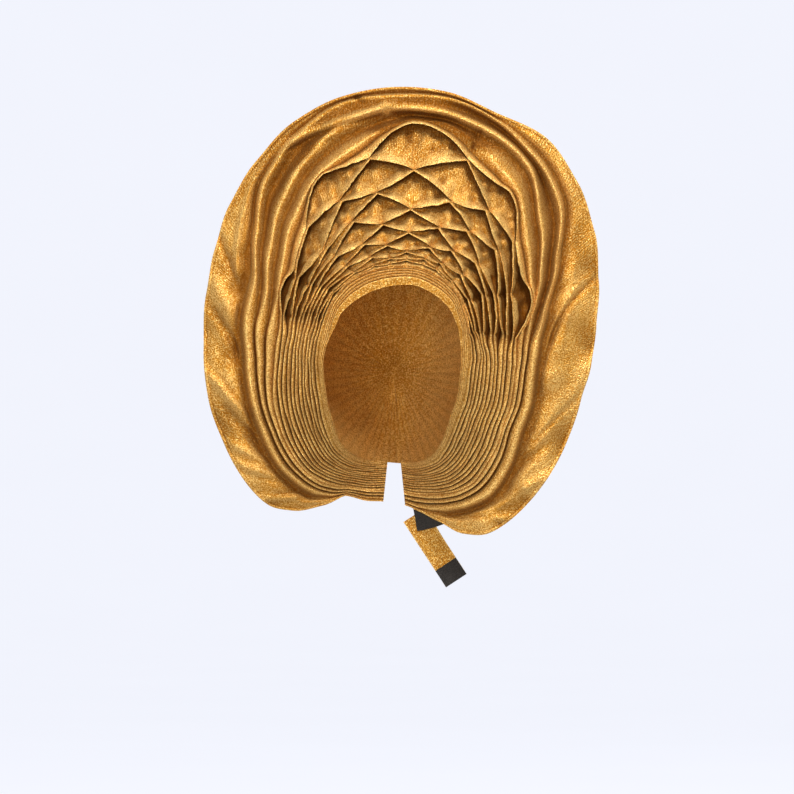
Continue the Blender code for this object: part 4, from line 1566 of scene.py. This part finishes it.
@dataclass
class Studio:
    """Pale floor that rises all round, soft lights and the camera."""

    aim: Vector = field(default_factory=lambda: Vector((0.003, -0.02, -0.158)))
    distance: float = 5.0
    sensor: float = 36.0            # width of the camera's sensor in millimetres
    sight: float = 60.0
    floor: float = -0.75
    radius: float = 9.0
    flat_share: float = 0.7
    paper: Colour = (0.865, 0.885, 0.965)
    paper_low: float = 0.985        # share of the paper's colour in its darker clouds
    bounce: Colour = (1.0, 0.95, 0.86)
    glow: float = 0.46
    room: Colour = (1.0, 0.97, 0.92)
    room_light: float = 0.42

    def backdrop(self) -> None:
        """Makes the floor: a disc whose edge sweeps up all round, out of the camera's reach."""
        floor = add_grid("studio_floor", 96, 40)
        for vertex in floor.data.vertices:
            turn = 2.0 * math.pi * (vertex.co.x + 0.5)
            run = vertex.co.y + 0.5
            out = self.radius * min(1.0, run / self.flat_share)
            rise = 3.0 * self.radius * max(0.0, run - 0.5) ** 2
            vertex.co = (out * math.sin(turn), out * math.cos(turn), self.floor + rise)
        bpy.ops.object.mode_set(mode="EDIT")
        bpy.ops.mesh.select_all(action="SELECT")
        bpy.ops.mesh.remove_doubles(threshold=0.0001)
        bpy.ops.mesh.normals_make_consistent(inside=True)
        bpy.ops.object.mode_set(mode="OBJECT")
        bpy.ops.object.shade_smooth()
        floor.data.materials.append(self.paper_finish())

    def paper_finish(self) -> Material:
        """Pale paper that glows, so that it stays even and lights the cloth only a little.

        Returns:
            The material.
        """
        material, kit, shader = blank_material("studio_paper")
        clouds = kit.noise(kit.node("ShaderNodeTexCoord").outputs["Object"], 3.0, 2.0)
        tint = kit.mix(clouds, tuple(self.paper_low * part for part in self.paper), self.paper)
        seen = kit.node("ShaderNodeLightPath").outputs["Is Camera Ray"]
        kit.feed(shader, {
            "Emission Color": kit.mix(seen, self.bounce, tint),
            "Emission Strength": kit.remap(seen, 0.0, 1.0, self.glow, 1.0),
            "Base Color": (0.05, 0.05, 0.055, 1.0),
            "Roughness": 0.95,
            "Specular IOR Level": 0.0,
        })
        return material

    def light(self) -> None:
        """Sets up the key, top, fill and back lights, all aimed at the halo, and the room."""
        for plan in LAMPS:
            light = bpy.data.lights.new(plan.name, "AREA")
            light.size = plan.size
            light.energy = plan.power
            light.color = plan.colour
            lamp = bpy.data.objects.new(plan.name, light)
            bpy.context.scene.collection.objects.link(lamp)
            lamp.location = plan.place
            lamp.rotation_euler = (self.aim - lamp.location).to_track_quat("-Z", "Y").to_euler()
        world = bpy.data.worlds.new("pale_room")
        bpy.context.scene.world = world
        world.use_nodes = True
        background = world.node_tree.nodes["Background"]
        background.inputs["Color"].default_value = (*self.room, 1.0)
        background.inputs["Strength"].default_value = self.room_light
        bpy.context.scene.view_settings.view_transform = "Standard"

    def camera(self) -> None:
        """Places the camera straight in front, at the photograph's framing."""
        lens = bpy.data.cameras.new("camera")
        lens.sensor_width = self.sensor
        lens.lens = self.sensor * self.distance / PHOTO_SIDE
        lens.clip_end = self.sight
        camera = bpy.data.objects.new("camera", lens)
        bpy.context.scene.collection.objects.link(camera)
        camera.location = self.aim - Vector((0.0, self.distance, 0.0))
        camera.rotation_euler = (math.radians(90.0), 0.0, 0.0)
        bpy.context.scene.camera = camera


def main() -> None:
    """Builds the studio and each piece."""
    logging.basicConfig(level=logging.INFO, format="%(name)s %(message)s")
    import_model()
    studio = Studio()
    studio.backdrop()
    studio.light()
    studio.camera()
    group = lame_group()
    gold = GoldCloth("gold_lame").make(group)
    crown_gold = GoldCloth("gold_lame_crown", Weave(rib=0.6)).make(group)
    tape = HookTape("hook_tape").make(group)
    form = HaloForm.from_frame()
    lines = PleatLines(form)
    pleats = Pleats(form, gold, lines)
    pleats.build()
    Halo(form, gold, lines, pleats).build()
    BrowBand(form, gold, lines).build()
    CrownWrap(form, crown_gold).build()
    strap = Strap(form, gold, tape)
    strap.build_strap()
    strap.build_tab()
    strap.build_pad()


if __name__ == "__main__":
    main()
